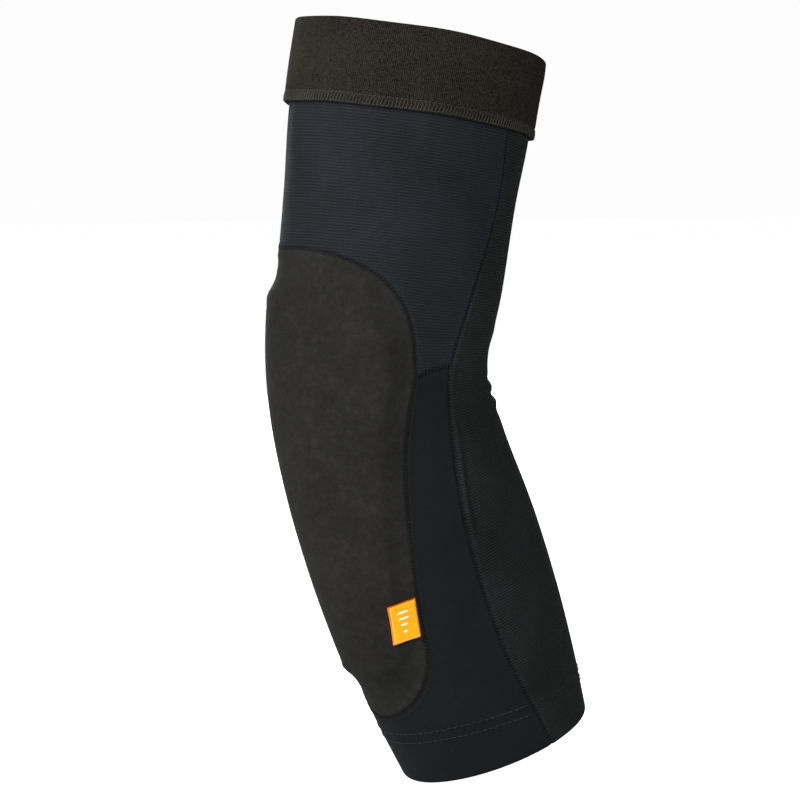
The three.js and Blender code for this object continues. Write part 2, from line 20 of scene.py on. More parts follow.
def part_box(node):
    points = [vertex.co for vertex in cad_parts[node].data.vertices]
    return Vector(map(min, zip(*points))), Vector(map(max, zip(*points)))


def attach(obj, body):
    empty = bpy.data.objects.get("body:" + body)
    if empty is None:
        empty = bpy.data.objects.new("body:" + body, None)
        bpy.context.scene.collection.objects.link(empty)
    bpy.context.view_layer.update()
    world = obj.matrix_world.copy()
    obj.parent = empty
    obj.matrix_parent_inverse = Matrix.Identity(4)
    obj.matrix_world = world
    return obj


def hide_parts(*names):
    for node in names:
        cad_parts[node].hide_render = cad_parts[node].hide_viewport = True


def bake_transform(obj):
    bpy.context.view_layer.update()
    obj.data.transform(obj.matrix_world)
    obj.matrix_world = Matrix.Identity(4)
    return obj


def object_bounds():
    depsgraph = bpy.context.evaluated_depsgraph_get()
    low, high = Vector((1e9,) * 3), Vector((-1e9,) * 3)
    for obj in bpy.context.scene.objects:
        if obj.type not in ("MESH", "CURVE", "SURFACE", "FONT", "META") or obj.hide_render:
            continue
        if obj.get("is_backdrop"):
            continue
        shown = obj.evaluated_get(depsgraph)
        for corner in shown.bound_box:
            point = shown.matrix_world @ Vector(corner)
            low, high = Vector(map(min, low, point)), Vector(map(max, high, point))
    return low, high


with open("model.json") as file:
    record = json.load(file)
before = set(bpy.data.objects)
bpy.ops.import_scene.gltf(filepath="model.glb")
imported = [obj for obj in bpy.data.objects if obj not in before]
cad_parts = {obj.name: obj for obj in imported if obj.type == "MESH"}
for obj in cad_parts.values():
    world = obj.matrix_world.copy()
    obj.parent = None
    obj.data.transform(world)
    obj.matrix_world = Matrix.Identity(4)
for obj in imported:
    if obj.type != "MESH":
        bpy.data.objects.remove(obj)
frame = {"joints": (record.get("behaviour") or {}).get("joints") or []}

MM = 0.001
ARC_POINTS = 9
LONG_SAMPLES = 400
CROSS_SAMPLES = 30
LOG = logging.getLogger("elbow guard")
Array = np.ndarray
Piece = bpy.types.Object
Socket = bpy.types.NodeSocket
Span = tuple[float, float]
Triple = tuple[float, float, float]
Shape = Callable[[Array, Array], Array]


class Body(Enum):
    """What a piece moves with."""

    UPPER = "upper_sleeve"
    FOREARM = "forearm_sleeve"
    TAG = "tag_loop"
    ACROSS_ELBOW = "bends between the sleeve's two bodies"


# ---------------------------------------------------------------- numbers and curves


def smoothstep(x: Array, low: float, high: float) -> Array:
    """0 below low, 1 above high and smooth between."""
    t = np.clip((np.asarray(x, float) - low) / (high - low), 0.0, 1.0)
    return t * t * (3 - 2 * t)


def lerp(a: Any, b: Any, t: Any) -> Any:
    """The value a share t of the way from a to b."""
    return a + (b - a) * t


def bell(x: Array, middle: float, width: float) -> Array:
    """1 at the middle, falling smoothly to nothing a few widths from it."""
    return np.exp(-(((x - middle) / width) ** 2))


def pair(x: Array, y: Array) -> Array:
    """Two arrays as one array of points."""
    return np.stack(np.broadcast_arrays(x, y), axis=-1).astype(float)


def graded(length: float, fine: float, coarse: float, growth: float = 1.35) -> Array:
    """Shares of a length, close together at its two ends.

    Args:
        length: the length to divide, mm.
        fine: the first and last cell, mm.
        coarse: the largest cell, mm.
        growth: how much each cell grows on the one before it.

    Returns:
        Rising shares from 0 to 1.
    """
    half, size = [0.0], fine
    while half[-1] < length / 2:
        half.append(half[-1] + size)
        size = min(size * growth, coarse)
    rise = np.array(half) / (2 * half[-1])
    return np.concatenate([rise, 1 - rise[-2::-1]])


@dataclass(frozen=True)
class Stations:
    """A smooth curve through values given at stations along the sleeve."""

    rows: tuple[Span, ...]

    def __call__(self, along: Array) -> Array:
        """The value at each distance along the sleeve.

        Args:
            along: distances down the sleeve, mm.

        Returns:
            The curve's values.
        """
        place, value = np.array(self.rows).T
        slope = np.diff(value) / np.diff(place)
        tangent = np.concatenate([slope[:1], (slope[:-1] + slope[1:]) / 2, slope[-1:]])
        x = np.clip(along, place[0], place[-1])
        i = np.clip(np.searchsorted(place, x, side="right") - 1, 0, len(place) - 2)
        step = place[i + 1] - place[i]
        p = (x - place[i]) / step
        start = (2 * p**3 - 3 * p**2 + 1) * value[i] + (p**3 - 2 * p**2 + p) * step * tangent[i]
        end = (3 * p**2 - 2 * p**3) * value[i + 1] + (p**3 - p**2) * step * tangent[i + 1]
        return start + end


# ---------------------------------------------------------------- the sleeve's form


@dataclass(frozen=True)
class SleeveForm:
    """The pre-curved tube that every piece is laid on, in the same sizes as the CAD part."""

    anchor: Triple
    upper_length: float = 139.0
    lower_length: float = 167.0
    upper_lean: float = -7.2
    forearm_lean: float = 21.6
    cuff_lean: float = 3.5
    cuff_lean_from: float = -64.0
    bend_from: float = -40.0
    bend_to: float = 64.0
    roundness: float = 0.93
    pattern_radius: float = 47.0
    crook_dip: float = 7.8
    crook_at: float = -3.0
    crook_spread: float = 22.0
    line_step: float = 0.25
    line_margin: float = 4.0
    half_depth: Stations = Stations((
        (-139, 51.4), (-101, 51.0), (-73, 49.2), (-8, 47.6), (32, 46.6),
        (78, 48.2), (114, 47.3), (142, 45.0), (167, 41.8),
    ))

    @property
    def half_girth(self) -> float:
        """Distance across from the middle of the pad to the middle of the crook."""
        return self.pattern_radius * math.pi

    def lean(self, along: Array) -> Array:
        """Angle of the centre line from straight down, in radians."""
        bend = smoothstep(along, self.bend_from, self.bend_to)
        cuff = 1 - smoothstep(along, -self.upper_length, self.cuff_lean_from)
        return np.radians(lerp(self.upper_lean, self.forearm_lean, bend) - self.cuff_lean * cuff)

    def centre(self, along: Array) -> tuple[Array, Array]:
        """The centre line, summed up in small steps.

        Args:
            along: distances down the sleeve, mm.

        Returns:
            X and Z, in mm from the elbow.
        """
        step, margin = self.line_step, self.line_margin
        place = np.arange(-self.upper_length - margin, self.lower_length + margin, step)
        lean = self.lean(place + step / 2)
        x = np.concatenate([[0], np.cumsum(np.sin(lean) * step)[:-1]])
        z = np.concatenate([[0], np.cumsum(-np.cos(lean) * step)[:-1]])
        x0, z0 = np.interp(0, place, x), np.interp(0, place, z)
        return np.interp(along, place, x) - x0, np.interp(along, place, z) - z0

    def point(self, across: Array, along: Array, depth: Any = 0.0) -> Array:
        """Places on the sleeve in the row frame.

        Args:
            across: distances round the sleeve, mm.
            along: distances down the sleeve, mm.
            depth: heights above the outer face, mm.

        Returns:
            Points in metres, with a last axis of 3.
        """
        across, along, depth = np.broadcast_arrays(across, along, depth)
        angle = across / self.pattern_radius
        half = self.half_depth(along)
        fold = bell(along, self.crook_at, self.crook_spread)
        dip = self.crook_dip * fold * np.maximum(0, -np.cos(angle)) ** 2
        outwards = -(half - dip + depth) * np.cos(angle)
        sideways = -(half * self.roundness + depth) * np.sin(angle)
        lean = self.lean(along)
        x, z = self.centre(along)
        place = np.stack(
            [x + outwards * np.cos(lean), sideways, z + outwards * np.sin(lean)], axis=-1
        )
        return place * MM + np.array(self.anchor)

    def outward(self, across: Array, along: Array) -> Array:
        """Unit vectors that point away from the arm."""
        way = self.point(across, along, 1.0) - self.point(across, along, 0.0)
        return way / np.linalg.norm(way, axis=-1, keepdims=True)


# ---------------------------------------------------------------- the flat pattern


@dataclass(frozen=True)
class Pattern:
    """Outlines of the panels on the flat pattern: cover, long seams and cross seams."""

    form: SleeveForm
    cover_half: float = 63.8
    cover_rise: float = 46.5
    squareness: float = 2.7
    taper_end: float = 103.0
    end_half: float = 39.0
    taper_sag: float = 1.9
    end_length: float = 32.0
    cross_rise: float = 4.5
    edge_points: int = 120
    long_seam: Stations = Stations((
        (-139, 94.0), (-105, 95.6), (-75, 98.0), (-28, 86.8), (0, 79.2),
        (28, 77.6), (66, 71.2), (98, 69.4), (126, 71.0), (167, 80.3),
    ))

    def arch(self, place: Array, wider: float = 0.0, taller: float = 0.0) -> Array:
        """The cover's top edge, from one side at -1 over the top at 0 to the other at 1.

        Args:
            place: places on the edge, -1 to 1.
            wider: distance to add at each side, mm.
            taller: distance to add at the top, mm.

        Returns:
            Places (across, along), mm.
        """
        turn = np.asarray(place) * math.pi / 2
        power = 2 / self.squareness
        across = (self.cover_half + wider) * np.sign(turn) * np.abs(np.sin(turn)) ** power
        return pair(across, -(self.cover_rise + taller) * np.abs(np.cos(turn)) ** power)

    def half_at(self, along: Array) -> Array:
        """Half the cover's width where it tapers."""
        share = np.clip(np.asarray(along) / self.taper_end, 0, 1)
        bow = 4 * self.taper_sag * share * (1 - share)
        return lerp(self.cover_half, self.end_half, share) - bow

    def tip(self, place: Array, wider: float = 0.0, longer: float = 0.0) -> Array:
        """The cover's round end, from one side at -1 through its tip at 0 to the other at 1."""
        turn = np.asarray(place) * math.pi / 2
        across = (self.end_half + wider) * np.sin(turn)
        return pair(across, self.taper_end + (self.end_length + longer) * np.cos(turn))

    def side(self, wider: float = 0.0, taller: float = 0.0, longer: float = 0.0) -> Array:
        """The cover's edge from the middle of its top down the tag side to its tip.

        Args:
            wider: distance to add at the side, mm.
            taller: distance to add at the top, mm.
            longer: distance to add at the tip, mm.

        Returns:
            Places (across, along), mm.
        """
        count = self.edge_points
        top = self.arch(np.linspace(0, 1, count), wider, taller)
        along = np.linspace(0, self.taper_end, count)[1:]
        down = pair(self.half_at(along) + wider, along)
        end = self.tip(np.linspace(1, 0, count)[1:], wider, longer)
        return np.concatenate([top, down, end])

    def outline(self, wider: float = 0.0, taller: float = 0.0, longer: float = 0.0) -> Array:
        """The whole edge of the cover as a closed line."""
        right = self.side(wider, taller, longer)
        return np.concatenate([right, (right * (-1, 1))[::-1][1:]])

    def cross(self, share: Array, sign: int) -> Array:
        """The seam between the upper and the forearm panel, from the cover to the long seam."""
        share = np.asarray(share)
        across = lerp(self.cover_half, self.long_seam(np.array(-self.cross_rise)), share)
        return pair(sign * across, -self.cross_rise * (1 - (1 - share) ** 2))

    def long(self, along: Array, sign: int, aside: float = 0.0) -> Array:
        """The seam beside the crook panel, moved aside towards the crook."""
        return pair(sign * (self.long_seam(along) + aside), along)


def run_length(line: Array) -> Array:
    """Distance from the start of a line to each of its points."""
    return np.concatenate([[0], np.cumsum(np.linalg.norm(np.diff(line, axis=0), axis=1))])


def walk(line: Array, share: Array) -> Array:
    """Points at shares of a line's length."""
    run = run_length(line)
    at = np.asarray(share) * run[-1]
    return np.stack([np.interp(at, run, column) for column in line.T], axis=-1)


def coons(
    top: Array, bottom: Array, left: Array, right: Array,
    u: Array, v: Array,
) -> tuple[Array, Array]:
    """Fills the space between four edges of the pattern with a grid.

    Args:
        top: points of the first row, from left to right.
        bottom: points of the last row.
        left: points of the first column, from top to bottom.
        right: points of the last column.
        u: share of each column, 0 to 1.
        v: share of each row, 0 to 1.

    Returns:
        The grid's distances across and along.
    """
    across_share, down_share = u[None, :, None], v[:, None, None]
    ruled = top[None] * (1 - down_share) + bottom[None] * down_share
    ruled = ruled + left[:, None] * (1 - across_share) + right[:, None] * across_share
    above = lerp(top[0], top[-1], across_share)
    below = lerp(bottom[0], bottom[-1], across_share)
    grid = ruled - lerp(above, below, down_share)
    return grid[..., 0], grid[..., 1]


@dataclass(frozen=True)
class Cut:
    """A piece of fabric as cut: a grid of places on the flat pattern."""

    across: Array
    along: Array

    @property
    def size(self) -> Span:
        """Width and length of the cut in metres."""
        return float(np.ptp(self.across)) * MM, float(np.ptp(self.along)) * MM

    @property
    def area(self) -> float:
        """Flat area of the cut.

        Returns:
            Square metres.
        """
        place = pair(self.across, self.along)
        first = place[1:, 1:] - place[:-1, :-1]
        second = place[1:, :-1] - place[:-1, 1:]
        cross = first[..., 0] * second[..., 1] - first[..., 1] * second[..., 0]
        return float(np.abs(cross).sum()) / 2 * MM * MM


class LineMap:
    """Finds the nearest of several lines on the pattern, which wraps round the sleeve."""

    def __init__(self, lines: Sequence[Array], girth: float, step: float = 0.4) -> None:
        """Samples the lines.

        Args:
            lines: lines on the pattern, mm.
            girth: distance right round the sleeve, mm.
            step: distance between the samples, mm.
        """
        places, runs = [], []
        for line in lines:
            length = run_length(line)[-1]
            share = np.linspace(0, 1, int(length / step) + 2)
            fine = walk(line, share)
            for shift in (-girth, 0.0, girth):
                places.append(fine + (shift, 0.0))
                runs.append(share * length)
        self.runs = np.concatenate(runs)
        joined = np.concatenate(places)
        self.tree = KDTree(len(joined))
        for i, (across, along) in enumerate(joined):
            self.tree.insert((across, along, 0.0), i)
        self.tree.balance()

    def near(self, across: Array, along: Array) -> tuple[Array, Array]:
        """Finds the nearest line at each place.

        Args:
            across: places round the sleeve, mm.
            along: places down it, mm.

        Returns:
            Distance to that line and how far along it the nearest point is, mm.
        """
        found = [self.tree.find((x, y, 0.0)) for x, y in zip(across.ravel(), along.ravel())]
        distance = np.array([hit[2] for hit in found]).reshape(across.shape)
        run = self.runs[[hit[1] for hit in found]].reshape(across.shape)
        return distance, run


# ---------------------------------------------------------------- relief of the fabric


@dataclass(frozen=True)
class Crease:
    """A short soft fold drawn on the pattern; a negative height is a hollow."""

    across: float
    along: float
    length: float
    width: float
    turn: float
    height: float

    def lift(self, across: Array, along: Array) -> Array:
        """Height of the fold at each place.

        Args:
            across: places round the sleeve, mm.
            along: places down it, mm.

        Returns:
            Heights, mm.
        """
        x, y = across - self.across, along - self.along
        cos, sin = math.cos(math.radians(self.turn)), math.sin(math.radians(self.turn))
        run, off = x * cos + y * sin, y * cos - x * sin
        return self.height * np.exp(-((off / self.width) ** 2) - (run / self.length) ** 2)


@dataclass
class Relief:
    """The small ups and downs of the fabric: seam grooves, puckers, folds and the pad's bulge."""

    pattern: Pattern
    seams: LineMap
    insert: LineMap
    groove: float = 0.95
    groove_width: float = 0.62
    shoulder: float = 0.24
    shoulder_at: float = 1.7
    shoulder_width: float = 1.0
    pucker: float = 0.09
    pucker_pitch: float = 4.3
    pucker_reach: float = 4.5
    pucker_wander: float = 1.7
    pucker_drift: float = 3.7
    wave_height: float = 0.14
    waves: tuple[Triple, ...] = ((2, 37, 0.6), (3, -23, 2.1))
    gather_height: float = 0.16
    gathers: float = 27.0
    gather_sway: float = 1.3
    gather_sways: float = 5.0
    gather_from: float = -78.0
    gather_full: float = -105.0
    pad_rise: float = 3.1
    pad_slope: Span = (-4.0, 6.5)
    insert_side: float = 6.0
    insert_top: float = 14.0
    insert_end: float = 17.0
    rim: float = 0.35
    rim_at: float = 4.5
    rim_width: float = 2.6
    crook_folds: tuple[Crease, ...] = (
        Crease(147.6, -19.0, 34.0, 5.0, 0.0, 0.8),
        Crease(147.6, 4.5, 40.0, 2.0, 0.0, -0.9),
        Crease(147.6, 9.0, 44.0, 2.6, 0.0, 1.1),
        Crease(147.6, 14.0, 44.0, 1.7, 0.0, -1.1),
        Crease(147.6, 18.5, 46.0, 2.8, 0.0, 1.0),
        Crease(147.6, 25.0, 38.0, 3.0, 0.0, -0.5),
    )
    cover_folds: tuple[Crease, ...] = (
        Crease(34.0, 2.5, 9.0, 1.3, -8.0, -0.35),
        Crease(41.0, 5.0, 7.0, 1.2, 12.0, 0.25),
        Crease(-36.0, 1.0, 9.0, 1.4, 10.0, -0.3),
        Crease(26.0, -27.0, 20.0, 2.4, 8.0, 0.3),
        Crease(-24.0, -29.0, 22.0, 2.6, -6.0, 0.3),
        Crease(12.0, 113.0, 16.0, 2.6, 14.0, 0.45),
        Crease(-14.0, 112.0, 14.0, 2.4, -16.0, 0.4),
        Crease(8.0, 52.0, 30.0, 16.0, 12.0, 0.25),
        Crease(27.0, 89.0, 8.0, 4.0, 90.0, -1.1),
    )
    tuck: float = 1.3
    tuck_from: Span = (14.0, 34.0)
    tuck_until: Span = (56.0, 76.0)
    tuck_ridge: Span = (2.4, 0.95)
    tuck_hollow: Span = (4.8, 1.4)
    tuck_sink: float = 0.55
    cross_step: float = 0.8
    cross_reach: float = 3.4
    cross_start: Span = (-0.5, 2.0)
    cover_drape: float = 0.5

    def seam_lift(self, across: Array, along: Array) -> Array:
        """How the fabric sinks and puckers beside a seam.

        Args:
            across: places round the sleeve, mm.
            along: places down it, mm.

        Returns:
            Heights, mm.
        """
        distance, run = self.seams.near(across, along)
        sink = -self.groove * bell(distance, 0.0, self.groove_width)
        swell = self.shoulder * bell(distance, self.shoulder_at, self.shoulder_width)
        wander = self.pucker_wander * np.sin(run / self.pucker_drift)
        pull = np.sin(2 * math.pi * run / self.pucker_pitch + wander)
        return sink + swell + self.pucker * pull * bell(distance, 0.0, self.pucker_reach)

    def drape(self, across: Array, along: Array) -> Array:
        """Broad soft waves of the stretched knit and the gathers under the cuff.

        Args:
            across: places round the sleeve, mm.
            along: places down it, mm.

        Returns:
            Heights, mm.
        """
        angle = across / self.pattern.form.pattern_radius
        broad = sum(np.sin(n * angle + along / drift + phase) for n, drift, phase in self.waves)
        sway = self.gather_sway * np.sin(self.gather_sways * angle)
        reach = smoothstep(along, self.gather_from, self.gather_full)
        gather = np.sin(self.gathers * angle + sway) * reach
        return self.wave_height * broad + self.gather_height * gather

    def long_tuck(self, across: Array, along: Array) -> Array:
        """The soft tuck beside the long seams just below the elbow.

        Args:
            across: places round the sleeve, mm.
            along: places down it, mm.

        Returns:
            Heights, mm.
        """
        girth = self.pattern.form.half_girth
        wide = np.abs(across)
        wide = np.where(wide > girth, 2 * girth - wide, wide)
        aside = wide - self.pattern.long_seam(along)
        reach = smoothstep(along, *self.tuck_from) * (1 - smoothstep(along, *self.tuck_until))
        ridge, hollow = bell(aside, *self.tuck_ridge), bell(aside, *self.tuck_hollow)
        return self.tuck * reach * (ridge - self.tuck_sink * hollow)

    def cross_hollow(self, across: Array, along: Array) -> Array:
        """How far the forearm panel sinks just below the cross seams.

        Args:
            across: places round the sleeve, mm.
            along: places down it, mm.

        Returns:
            Heights, mm.
        """
        p = self.pattern
        wide = np.abs(across)
        start = p.long_seam(np.full_like(along, -p.cross_rise))
        share = np.clip((wide - p.cover_half) / (start - p.cover_half), 0, 1)
        below = along + p.cross_rise * (1 - (1 - share) ** 2)
        low, high = self.cross_start
        beside = smoothstep(wide, p.cover_half + low, p.cover_half + high) * (wide < start)
        fade = bell(below, 0.0, self.cross_reach) * (below > 0)
        return -self.cross_step * beside * fade

    def knit(self, across: Array, along: Array) -> Array:
        """Outer face of a knitted panel, mm above the sleeve."""
        folds = sum(crease.lift(across, along) for crease in self.crook_folds)
        lift = self.drape(across, along) + folds + self.long_tuck(across, along)
        return lift + self.cross_hollow(across, along) + self.seam_lift(across, along)

    def inside_insert(self, across: Array, along: Array) -> Array:
        """Distance inside the foam insert's edge, negative outside it.

        Args:
            across: places round the sleeve, mm.
            along: places down it, mm.

        Returns:
            Distances, mm.
        """
        distance, _ = self.insert.near(across, along)
        p = self.pattern
        wide = np.abs(across)
        n = p.squareness
        half, rise = p.cover_half - self.insert_side, p.cover_rise - self.insert_top
        top = ((wide / half) ** n + (np.maximum(-along, 0) / rise) ** n) < 1
        middle = wide < p.half_at(along) - self.insert_side
        end = np.hypot(
            wide / (p.end_half - self.insert_side),
            np.maximum(along - p.taper_end, 0) / (p.end_length - self.insert_end),
        ) < 1
        inside = np.where(along < 0, top, np.where(along <= p.taper_end, middle, end))
        return np.where(inside, distance, -distance)

    def bulge(self, inside: Array) -> Array:
        """How far the insert lifts the cover, mm."""
        rim = self.rim * bell(inside, self.rim_at, self.rim_width)
        return self.pad_rise * smoothstep(inside, *self.pad_slope) + rim

    def cover(self, across: Array, along: Array) -> Array:
        """Outer face of the pad cover, mm above the sleeve."""
        folds = sum(crease.lift(across, along) for crease in self.cover_folds)
        lift = self.bulge(self.inside_insert(across, along)) + folds
        return lift + self.cover_drape * self.drape(across, along) + self.seam_lift(across, along)


# ---------------------------------------------------------------- meshes


def put(name: str, data: Any) -> Piece:
    """A new object in the scene with that mesh, camera or light."""
    obj = bpy.data.objects.new(name, data)
    bpy.context.scene.collection.objects.link(obj)
    return obj


def make_object(
    name: str, points: Array, faces: list[tuple[int, ...]],
    pattern: Array | None = None,
) -> Piece:
    """A closed smooth mesh object with its faces outwards.

    Args:
        name: the object's name.
        points: vertices in metres.
        faces: vertex numbers of each face.
        pattern: the flat place of each vertex in metres, for the pattern UV map.

    Returns:
        The new object, in the scene.
    """
    corners = points[np.array([face[:3] for face in faces])]
    volume = np.einsum("ij,ij->i", corners[:, 0], np.cross(corners[:, 1], corners[:, 2])).sum()
    if volume < 0:
        faces = [face[::-1] for face in faces]
    mesh = bpy.data.meshes.new(name)
    mesh.from_pydata(points.tolist(), [], faces)
    mesh.polygons.foreach_set("use_smooth", np.ones(len(mesh.polygons), bool))
    if pattern is not None:
        loops = np.empty(len(mesh.loops), np.int32)
        mesh.loops.foreach_get("vertex_index", loops)
        uv = mesh.uv_layers.new(name="pattern")
        uv.data.foreach_set("uv", pattern[loops].astype(np.float32).ravel())
    mesh.update()
    return put(name, mesh)


def slab(name: str, form: SleeveForm, cut: Cut, outer: Any, inner: Any) -> Piece:
    """A piece of fabric with two faces and closed edges, laid on the sleeve.

    Args:
        name: the object's name.
        form: the sleeve it lies on.
        cut: its grid on the pattern.
        outer: height of its outer face, mm.
        inner: height of its inner face, mm.

    Returns:
        The new object.
    """
    rows, columns = cut.across.shape
    count = rows * columns
    index = np.arange(count).reshape(rows, columns)
    front = np.stack([index[:-1, :-1], index[:-1, 1:], index[1:, 1:], index[1:, :-1]], -1)
    front = front.reshape(-1, 4)
    back = front[:, ::-1] + count
    rim = np.concatenate([index[0], index[1:, -1], index[-1, -2::-1], index[-2:0:-1, 0]])
    after = np.roll(rim, -1)
    edge = np.stack([after, rim, rim + count, after + count], -1)
    faces = np.concatenate([front, back, edge])
    flat = pair(cut.across, cut.along).reshape(-1, 2) * MM
    points = np.concatenate([
        form.point(cut.across, cut.along, outer).reshape(-1, 3),
        form.point(cut.across, cut.along, inner).reshape(-1, 3),
    ])
    return make_object(name, points, [tuple(f) for f in faces.tolist()], np.tile(flat, (2, 1)))


def band(
    name: str, form: SleeveForm, section: Array, segments: int,
    relief: Shape | None = None, wobble: Callable[[Array], Array] | None = None,
) -> Piece:
    """A closed section swept right round the sleeve.

    Args:
        name: the object's name.
        form: the sleeve it goes round.
        section: closed line of places (along, depth), mm.
        segments: number of steps round the sleeve.
        relief: height to add at each place (across, along), mm.
        wobble: distance along to add at each place across, mm.

    Returns:
        The new object.
    """
    girth = 2 * form.half_girth
    across = np.linspace(0, girth, segments, endpoint=False)
    around, along = np.meshgrid(across, section[:, 0], indexing="ij")
    _, depth = np.meshgrid(across, section[:, 1], indexing="ij")
    if wobble is not None:
        along = along + wobble(around)
    if relief is not None:
        depth = depth + relief(around, along)
    points = form.point(around, along, depth).reshape(-1, 3)
    size = len(section)
    index = np.arange(segments * size).reshape(segments, size)
    right, down = np.roll(index, -1, axis=0), np.roll(index, -1, axis=1)
    faces = np.stack([index, right, np.roll(right, -1, axis=1), down], -1).reshape(-1, 4)
    flat = pair(around, along + depth).reshape(-1, 2) * MM
    obj = make_object(name, points, [tuple(f) for f in faces.tolist()], flat)
    mend_wrap(obj, girth * MM)
    return obj


def mend_wrap(obj: Piece, girth: float) -> None:
    """Carries the pattern on over the place where a band closes.

    Args:
        obj: the band.
        girth: length of the pattern once round, metres.
    """
    layer = obj.data.uv_layers["pattern"].data
    uv = np.empty(len(layer) * 2, np.float32)
    layer.foreach_get("uv", uv)
    uv = uv.reshape(-1, 4, 2)
    wide = np.ptp(uv[..., 0], axis=1) > girth / 2
    uv[wide, :, 0] += np.where(uv[wide, :, 0] < girth / 2, girth, 0)
    layer.foreach_set("uv", uv.ravel())


def rounded_section(
    top: float, bottom: float, inner: float, outer: float, cell: float,
) -> Array:
    """A closed section with half-round ends.

    Args:
        top: distance along of the upper end, mm.
        bottom: distance along of the lower end, mm.
        inner: height of the inner face, mm.
        outer: height of the outer face, mm.
        cell: spacing of the points on the flat sides, mm.

    Returns:
        Places (along, depth) as a closed line.
    """
    radius = (outer - inner) / 2
    middle = (outer + inner) / 2
    count = max(2, round((bottom - top - 2 * radius) / cell))
    down = np.linspace(top + radius, bottom - radius, count + 1)
    turn = np.linspace(0, math.pi, ARC_POINTS)[1:-1]
    low = pair(bottom - radius + radius * np.sin(turn), middle + radius * np.cos(turn))
    high = pair(top + radius - radius * np.sin(turn), middle - radius * np.cos(turn))
    return np.concatenate([pair(down, outer), low, pair(down[::-1], inner), high])


# ---------------------------------------------------------------- node trees


class Wiring:
    """Adds nodes to a node tree and wires them by socket name."""

    def __init__(self, tree: bpy.types.NodeTree) -> None:
        """Starts with the tree that it fills."""
        self.tree = tree

    def add(
        self, kind: str, inputs: dict[Any, Any] | None = None, **settings: Any,
    ) -> bpy.types.Node:
        """Adds a node.

        Args:
            kind: Blender's name for the node type.
            inputs: a value, or a socket to link from, for each input by name or number.
            **settings: properties of the node.

        Returns:
            The new node.
        """
        node = self.tree.nodes.new(kind)
        for key, value in settings.items():
            setattr(node, key, value)
        for key, value in (inputs or {}).items():
            socket = self.socket(node.inputs, key)
            if isinstance(value, Socket):
                self.tree.links.new(value, socket)
            else:
                socket.default_value = value
        return node

    @staticmethod
    def socket(sockets: Any, key: Any) -> Socket:
        """The input or output of that name or number that is in use."""
        if isinstance(key, int):
            return sockets[key]
        return next(s for s in sockets if s.name == key and s.enabled)

    def out(
        self, kind: str, inputs: dict[Any, Any] | None = None, **settings: Any,
    ) -> Socket:
        """Adds a node and returns its first output in use."""
        node = self.add(kind, inputs, **settings)
        return next(s for s in node.outputs if s.enabled)

    def math(self, operation: str, *values: Any) -> Socket:
        """One step of arithmetic on values or sockets."""
        return self.out("ShaderNodeMath", dict(enumerate(values)), operation=operation)


class GrowTree:
    """A Geometry Nodes tree that makes something repeat along a path."""

    def __init__(self, name: str, sizes: dict[str, float], counts: dict[str, int]) -> None:
        """Opens the tree with its named inputs.

        Args:
            name: the tree's name.
            sizes: each size input and its default, metres or radians.
            counts: each whole-number input and its default.
        """
        self.tree = bpy.data.node_groups.new(name, "GeometryNodeTree")
        self.open("Path", "Geometry")
        for key, value in sizes.items():
            self.open(key, "Float").default_value = value
        for key, number in counts.items():
            self.open(key, "Int").default_value = number
        self.open("Finish", "Material")
        self.open("Made", "Geometry", "OUTPUT")
        self.wiring = Wiring(self.tree)
        self.inputs = self.wiring.add("NodeGroupInput").outputs

    def open(self, key: str, kind: str, way: str = "INPUT") -> Any:
        """A new input or output of the tree."""
        return self.tree.interface.new_socket(key, in_out=way, socket_type="NodeSocket" + kind)

    def outward(self) -> Socket:
        """Which way is out at each point of the path."""
        return self.wiring.out(
            "GeometryNodeInputNamedAttribute", {"Name": "outward"}, data_type="FLOAT_VECTOR"
        )

    def close(self, instances: Socket) -> None:
        """Ends the tree: real meshes with their finish.

        Args:
            instances: what the tree has grown.
        """
        real = self.wiring.out("GeometryNodeRealizeInstances", {"Geometry": instances})
        done = self.wiring.out(
            "GeometryNodeSetMaterial", {"Geometry": real, "Material": self.inputs["Finish"]}
        )
        self.wiring.add("NodeGroupOutput", {"Made": done})

    def grow(self, source: Piece, name: str, **values: Any) -> Piece:
        """Runs the tree on an object and keeps the result as a plain mesh.

        Args:
            source: the path object, which is used up.
            name: the new object's name.
            **values: inputs by name, with _ for a space.

        Returns:
            The new object.
        """
        modifier = source.modifiers.new(name, "NODES")
        modifier.node_group = self.tree
        wanted = {key.replace("_", " "): value for key, value in values.items()}
        for item in self.tree.interface.items_tree:
            if item.in_out == "INPUT" and item.name in wanted:
                modifier[item.identifier] = wanted[item.name]
        bpy.context.view_layer.update()
        depsgraph = bpy.context.evaluated_depsgraph_get()
        mesh = bpy.data.meshes.new_from_object(
            source.evaluated_get(depsgraph), preserve_all_data_layers=True, depsgraph=depsgraph
        )
        source.modifiers.remove(modifier)
        bpy.data.objects.remove(source)
        mesh.name = name
        return put(name, mesh)


